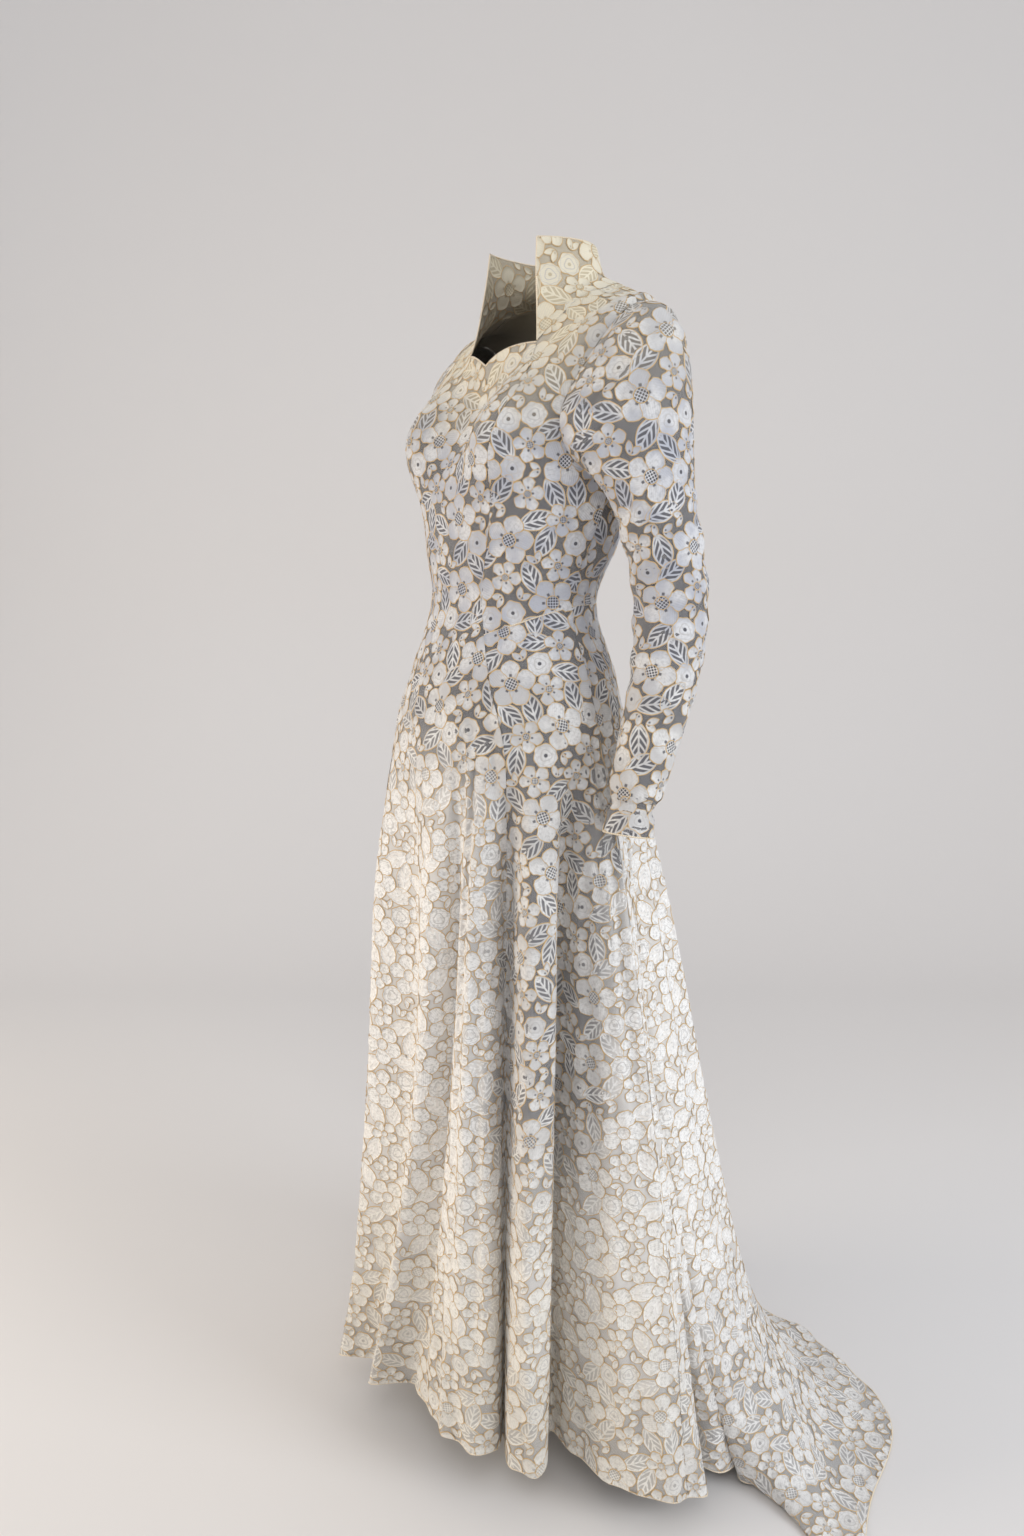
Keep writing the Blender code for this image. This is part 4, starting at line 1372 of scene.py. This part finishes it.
# %% [markdown]
# ## The repeat
#
# Machine lace is one repeat, made over and over. The chart below places each motif roughly, in
# millimetres and degrees, on a repeat that joins on to itself at all four sides. Small
# steps then push motifs that overlap apart, until most of them just touch.

# %% The chart of one repeat
REPEAT = (0.204, 0.226)
# Each kind of motif: the radius that it keeps free, less than its own where the motif is narrow,
# and its places, as x and y in millimetres and the turn in degrees.
CHART = {
    0: (LARGE, ((34, 40, 10), (138, 28, 52), (88, 96, 80), (184, 118, 25), (50, 166, 64),
                (142, 178, 5))),
    1: (SMALL, ((84, 44, 0), (176, 62, 20), (36, 100, 35), (134, 118, 50), (100, 148, 12),
                (92, 200, 40), (190, 168, 28), (10, 206, 5), (134, 76, 33))),
    2: (ROSE, ((4, 68, 0), (62, 8, 20), (108, 14, 11), (166, 94, 31), (8, 136, 7), (96, 174, 16),
               (180, 204, 40))),
    3: (LEAF * 0.66, ((62, 66, 35), (110, 58, 120), (154, 52, 200), (196, 30, 80), (12, 18, 150),
                      (52, 132, 15), (18, 158, 100), (116, 98, 250), (158, 140, 300), (72, 142, 60),
                      (14, 184, 340), (72, 186, 130), (118, 206, 210), (60, 88, 285),
                      (168, 6, 170), (110, 132, 25), (160, 154, 95), (34, 12, 230))),
    4: (SPRIG * 0.8, ((56, 108, 0), (112, 76, 120), (20, 120, 245), (160, 76, 70), (78, 120, 195),
                      (204, 92, 310), (30, 196, 50), (116, 166, 180), (152, 204, 100),
                      (62, 30, 215), (106, 34, 60), (4, 40, 333))),
}
SETTLING_STEPS = 400
TOUCH = 0.90
PUSH = 0.25


def settled_chart():
    """The chart's places in metres, after overlapping motifs have pushed each other apart."""
    rows = [
        (kind, size, x / 1000, y / 1000, math.radians(turn))
        for kind, (size, places) in CHART.items() for x, y, turn in places
    ]
    kind, size, x, y, turn = (np.array(column) for column in zip(*rows))
    place = np.stack([x, y], axis=-1)
    width = np.array(REPEAT)
    for _ in range(SETTLING_STEPS):
        apart = place[:, None] - place[None]
        apart -= width * np.round(apart / width)
        far = np.linalg.norm(apart, axis=-1) + np.eye(len(place))
        overlap = np.clip(TOUCH * (size[:, None] + size[None]) - far, 0.0, None)
        np.fill_diagonal(overlap, 0.0)
        push = np.sum(apart / far[..., None] * overlap[..., None], axis=1)
        place = place + PUSH * push
    return kind.astype(int), place % width, turn, overlap.max()


kinds, places, turns, worst = settled_chart()
print(len(kinds), "motifs in a repeat; the worst overlap left is", round(worst * 1000, 1), "mm")

chart_mesh = new_mesh("chart", [[x, y, 0.0] for x, y in places])
for label, kind, values in (("kind", "INT", kinds), ("turn", "FLOAT", turns)):
    chart_mesh.attributes.new(label, kind, "POINT").data.foreach_set("value", values)
chart = bpy.data.objects.new("chart", chart_mesh)

# %% [markdown]
# ## Wrapping the lace on each piece
#
# The lace is laid out flat over the piece's flat copy, where it is easy to repeat. Each point
# then looks up the nearest place on the flat copy and moves to where that place is worn, a
# little outwards by its own height. Points just beyond the cut edge find the edge itself, and
# faces farther out are deleted, so the lace ends there as cut lace does. Geometry Nodes do all
# of this, with named inputs.

# %% The Geometry Nodes tree
EDGE_KEEP = 0.0025


def build_lace_tree():
    """The node tree that repeats the chart over a flat piece and moves it to where it's worn."""
    tree = bpy.data.node_groups.new("wrap_lace", "GeometryNodeTree")
    face = tree.interface
    face.new_socket("Geometry", in_out="OUTPUT", socket_type="NodeSocketGeometry")
    face.new_socket("Geometry", in_out="INPUT", socket_type="NodeSocketGeometry")
    for name, kind in (
        ("Motifs", "NodeSocketCollection"), ("Chart", "NodeSocketObject"),
        ("Width", "NodeSocketFloat"), ("Height", "NodeSocketFloat"),
        ("Across", "NodeSocketInt"), ("Down", "NodeSocketInt"),
        ("Start", "NodeSocketVector"), ("Lift", "NodeSocketFloat"), ("Side", "NodeSocketFloat"),
    ):
        face.new_socket(name, in_out="INPUT", socket_type=kind)
    given = add_node(tree, "NodeGroupInput")

    def attribute(name, kind):
        return add_node(tree, "GeometryNodeInputNamedAttribute", {"data_type": kind}, [name])

    motifs = add_node(tree, "GeometryNodeCollectionInfo", {}, [given.part("Motifs"), True, True])
    points = add_node(tree, "GeometryNodeObjectInfo", {}, {"Object": given.part("Chart")})
    spin = add_node(tree, "ShaderNodeCombineXYZ", {}, {"Z": attribute("turn", "FLOAT")})
    one = add_node(tree, "GeometryNodeInstanceOnPoints", {}, {
        "Points": points.part("Geometry"), "Instance": motifs, "Pick Instance": True,
        "Instance Index": attribute("kind", "INT"), "Rotation": spin,
    })
    across, down = given.part("Across"), given.part("Down")
    lattice = add_node(tree, "GeometryNodeMeshGrid", {}, {
        "Size X": given.part("Width") * (across - 1), "Vertices X": across,
        "Size Y": given.part("Height") * (down - 1), "Vertices Y": down,
    })
    all_over = add_node(tree, "GeometryNodeInstanceOnPoints", {}, {
        "Points": lattice, "Instance": one,
    })
    lace = add_node(tree, "GeometryNodeRealizeInstances", {}, [all_over])
    lace = add_node(tree, "GeometryNodeSetPosition", {}, {
        "Geometry": lace, "Offset": given.part("Start"),
    })

    here = add_node(tree, "GeometryNodeInputPosition")
    parts = add_node(tree, "ShaderNodeSeparateXYZ", {}, [here])
    flat_place = add_node(tree, "ShaderNodeCombineXYZ", {}, {
        "X": parts.part("X"), "Y": parts.part("Y"),
    })
    near = add_node(tree, "GeometryNodeProximity", {"target_element": "FACES"}, {
        0: given.part("Geometry"), "Sample Position": flat_place,
    })
    lace = add_node(tree, "GeometryNodeDeleteGeometry", {"domain": "FACE"}, {
        "Geometry": lace, "Selection": near.part("Distance") > EDGE_KEEP,
    })

    def looked_up(name):
        return add_node(
            tree, "GeometryNodeSampleNearestSurface", {"data_type": "FLOAT_VECTOR"},
            {"Mesh": given.part("Geometry"), "Value": attribute(name, "FLOAT_VECTOR"),
             "Sample Position": flat_place},
        )

    height = (parts.part("Z") + given.part("Lift")) * given.part("Side")
    raised = add_node(tree, "ShaderNodeVectorMath", {"operation": "SCALE"}, {
        0: looked_up("out"), "Scale": height,
    })
    worn = add_node(tree, "ShaderNodeVectorMath", {"operation": "ADD"}, [looked_up("worn"), raised])
    lace = add_node(tree, "GeometryNodeSetPosition", {}, {"Geometry": lace, "Position": worn})
    for number, finish in enumerate(FINISHES):
        chosen = add_node(
            tree, "FunctionNodeCompare", {"data_type": "INT", "operation": "EQUAL"},
            {"A": attribute("finish", "INT"), "B": number},
        )
        lace = add_node(tree, "GeometryNodeSetMaterial", {}, {
            "Geometry": lace, "Selection": chosen, "Material": LACE[finish],
        })
    add_node(tree, "NodeGroupOutput", {}, {"Geometry": lace})
    return tree


lace_tree = build_lace_tree()
print("tree", lace_tree.name, len(lace_tree.nodes), "nodes")


# %% Wrap the lace on every piece
SHIFTS = (0.37, 0.61)


def set_inputs(modifier, values):
    """Sets a Geometry Nodes modifier's inputs, given by the names that the tree shows."""
    for item in modifier.node_group.interface.items_tree:
        if item.item_type == "SOCKET" and item.in_out == "INPUT" and item.name in values:
            modifier[item.identifier] = values[item.name]


def flat_copy(name):
    """The piece laid flat, with where each point is worn and which way is out of it."""
    points, out, flat = worn_frame(name)
    rows, columns = points.shape[:2]
    places = np.concatenate([flat, np.zeros((rows, columns, 1))], axis=-1).reshape(-1, 3)
    mesh = new_mesh(name + "_flat", places, grid_faces(rows, columns))
    for label, values in (("worn", points), ("out", out)):
        data = mesh.attributes.new(label, "FLOAT_VECTOR", "POINT").data
        data.foreach_set("vector", values.astype(np.float32).ravel())
    return in_scene(name + "_flat", mesh), flat


def applied(piece, name):
    """The piece as its modifiers leave it, as a plain mesh object."""
    graph = bpy.context.evaluated_depsgraph_get()
    graph.update()
    mesh = bpy.data.meshes.new_from_object(piece.evaluated_get(graph))
    mesh.name = name
    return in_scene(name, mesh)


def wrap_lace(name, number, side=1.0):
    """The lace of one piece, outside or inside it. Its number shifts the repeat."""
    flat_piece, flat = flat_copy(name)
    low, high = flat.min(axis=(0, 1)), flat.max(axis=(0, 1))
    repeat = np.array(REPEAT)
    count = np.ceil((high - low) / repeat).astype(int) + 2
    shift = np.array(SHIFTS) * number % 1.0 * repeat
    start = (low + high) / 2 - repeat / 2 + shift - repeat / 2
    lace = flat_piece.modifiers.new("lace", "NODES")
    lace.node_group = lace_tree
    set_inputs(lace, {
        "Motifs": motif_box, "Chart": chart, "Width": REPEAT[0], "Height": REPEAT[1],
        "Across": int(count[0]), "Down": int(count[1]), "Start": (start[0], start[1], 0.0),
        "Lift": 0.0 if side > 0 else NET_WALL, "Side": side,
    })
    result = applied(flat_piece, f"{name}_lace" + ("" if side > 0 else "_inside"))
    result.data.shade_smooth()
    bpy.data.objects.remove(flat_piece)
    if side < 0:
        result.data.flip_normals()
    return result


laces = {}
for number, name in enumerate(CLOTH):
    laces[name] = [wrap_lace(name, number)]
    if name.startswith("collar"):
        laces[name].append(wrap_lace(name, number, side=-1.0))
for name, made in laces.items():
    for piece in made:
        piece.data.calc_loop_triangles()
        print(piece.name, len(piece.data.loop_triangles), "triangles")

# %% [markdown]
# ## Rolled edges
#
# The hem, the cuffs, the neckline and the collar end in a narrow rolled edge, overcast with
# thread, and the waist seam has the same edge turned up. A thin tube stands for it, and its
# stitches are a spiral bump.

# %% Edges that stay open
EDGE_RADIUS = 0.0011
EDGE_SIDES = 6
# How many radians the edge's overcast thread turns in a metre.
EDGE_STITCHES = 2600.0
EDGE_TAN = (0.72, 0.57, 0.38, 1.0)
EDGE_IVORY = (0.88, 0.79, 0.64, 1.0)


def paint_edge(tree):
    along, around = uv_parts(tree, "edge")
    twist = ((along * EDGE_STITCHES) + around * 6.283).math("SINE") * 0.5 + 0.5
    return mixed(tree, twist, EDGE_TAN, EDGE_IVORY), twist, None


edge_material = make_material("rolled_edge", 0.8, paint_edge)


def edge_tube(name, line, out):
    """A thin tube along a line of points on the cloth."""
    along = unit(np.gradient(line, axis=0))
    out = unit(out - np.sum(out * along, axis=-1, keepdims=True) * along)
    beside = np.cross(along, out)
    turn = np.linspace(0.0, 2 * math.pi, EDGE_SIDES + 1)
    ring = np.cos(turn)[None, :, None] * out[:, None] + np.sin(turn)[None, :, None] * beside[:, None]
    points = (line - 0.5 * NET_WALL * out)[:, None] + EDGE_RADIUS * ring
    length = np.concatenate([[0.0], np.cumsum(np.linalg.norm(np.diff(line, axis=0), axis=1))])
    uvs = np.stack(np.broadcast_arrays(length[:, None], (turn / (2 * math.pi))[None]), axis=-1)
    rows, columns = points.shape[:2]
    faces = grid_faces(rows, columns)
    return mesh_object(
        name, points.reshape(-1, 3), faces, uvs.reshape(-1, 2), "edge", edge_material
    )


OPEN_EDGES = dict.fromkeys(CLOTH, ("hem",))
OPEN_EDGES["front_panel"] = ("top", "hem")
OPEN_EDGES["collar_left"] = ("top", "first")
OPEN_EDGES["collar_right"] = ("top", "last")
OPEN_EDGES["back_placket"] = ("first", "last")
EVERY = slice(None)
PICK = {"top": (0, EVERY), "hem": (-1, EVERY), "first": (EVERY, 0), "last": (EVERY, -1)}
edges = {}
for name, which in OPEN_EDGES.items():
    points, out, _ = worn_frame(name)
    edges[name] = [
        edge_tube(f"{name}_edge_{label}", points[PICK[label]], out[PICK[label]]) for label in which
    ]
print("rolled edges", sum(len(made) for made in edges.values()))

# %% [markdown]
# ## Hand over to the frame
#
# Each net wall stands for its CAD wall, and the lace and edges ride with it. The size of every
# net wall's flat cut is measured on the flat copy, and printed with its area.

# %% Ride, replace and measure
for name, net in nets.items():
    trims = laces[name] + edges[name]
    for piece in (net, *trims):
        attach(piece, "root")
    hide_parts(name)
    points, _, flat = worn_frame(name)
    width, length = np.ptp(flat, axis=(0, 1))
    area = quad_areas(points.reshape(-1, 3), grid_faces(*points.shape[:2])).sum()
    area = min(float(area), width * length)
    print(name, "cut", round(float(width), 3), "x", round(float(length), 3), "area", round(area, 3))

# %% [markdown]
# ## The studio
#
# A plain pale floor rises into a plain backdrop in one sweep, so no line crosses the picture.
# Three large soft lights stand round the gown: a warm one in front, a cool one to its left and
# behind it, and a weaker one high on the camera's side. The pale world fills the shadows.

# %% Floor and backdrop
PAPER_Z = FLOOR - 0.001
PAPER_REACH = 4.0
PAPER_HALF_WIDTH = 6.0
PAPER_BACK = 1.6
PAPER_RISE = 4.0
PAPER_CURVE = 1.2
PAPER_STEPS = 24
PAPER_WARM = (0.70, 0.665, 0.635, 1.0)
PAPER_COOL = (0.74, 0.72, 0.705, 1.0)


def sweep(name):
    """A floor that curves up into a wall behind the gown, seen from the camera."""
    profile = [(-PAPER_REACH, PAPER_Z)]
    for t in np.linspace(0.0, math.pi / 2, PAPER_STEPS):
        up = PAPER_Z + PAPER_CURVE * (1 - math.cos(t))
        profile.append((PAPER_BACK + PAPER_CURVE * math.sin(t), up))
    profile.append((PAPER_BACK + PAPER_CURVE, FLOOR + PAPER_RISE))
    a = camera.rotation_euler.z
    forward, side = np.array([-math.sin(a), math.cos(a)]), np.array([math.cos(a), math.sin(a)])
    points = [
        (*(forward * along + side * across), up)
        for across in (-PAPER_HALF_WIDTH, PAPER_HALF_WIDTH) for along, up in profile
    ]
    n = len(profile)
    mesh = new_mesh(name, points, [(i, i + n, i + 1 + n, i + 1) for i in range(n - 1)])
    mesh.shade_smooth()
    return in_scene(name, mesh)


def paint_studio(tree):
    return mixed(tree, mottle(tree, 2.5), PAPER_WARM, PAPER_COOL), None, None


studio = sweep("studio")
studio.data.materials.append(make_material("studio_paper", 0.95, paint_studio))
print("studio floor at", PAPER_Z)

# %% Lights
# Each light's name, place, target, size, power and colour.
LIGHTS = (
    ("warm_left", (-1.2, -2.4, -0.4), (0.0, 0.0, -1.0), 1.3, 36.0, (1.0, 0.88, 0.72)),
    ("cool_right", (3.0, 1.3, 0.2), (0.0, 0.0, -0.8), 1.5, 56.0, (0.89, 0.94, 1.0)),
    ("front_high", (2.2, -1.6, 2.2), (0.0, 0.0, -0.3), 1.6, 20.0, (0.95, 0.97, 1.0)),
)
WORLD_COLOUR = (0.93, 0.95, 1.0, 1.0)
WORLD_STRENGTH = 0.65


def soft_light(name, place, target, size, power, colour):
    """A square area light that faces a point."""
    data = bpy.data.lights.new(name, "AREA")
    data.size = size
    data.energy = power
    data.color = colour
    light = in_scene(name, data)
    light.location = place
    aim = Vector(target) - Vector(place)
    light.rotation_euler = aim.to_track_quat("-Z", "Y").to_euler()


for light in LIGHTS:
    soft_light(*light)
world = bpy.data.worlds.new("world")
bpy.context.scene.world = world
world.use_nodes = True
background = world.node_tree.nodes["Background"]
background.inputs["Color"].default_value = WORLD_COLOUR
background.inputs["Strength"].default_value = WORLD_STRENGTH
bpy.context.scene.view_settings.view_transform = "Standard"
print("lights", [light.name for light in bpy.data.lights])

# %% [markdown]
# ## Finish
#
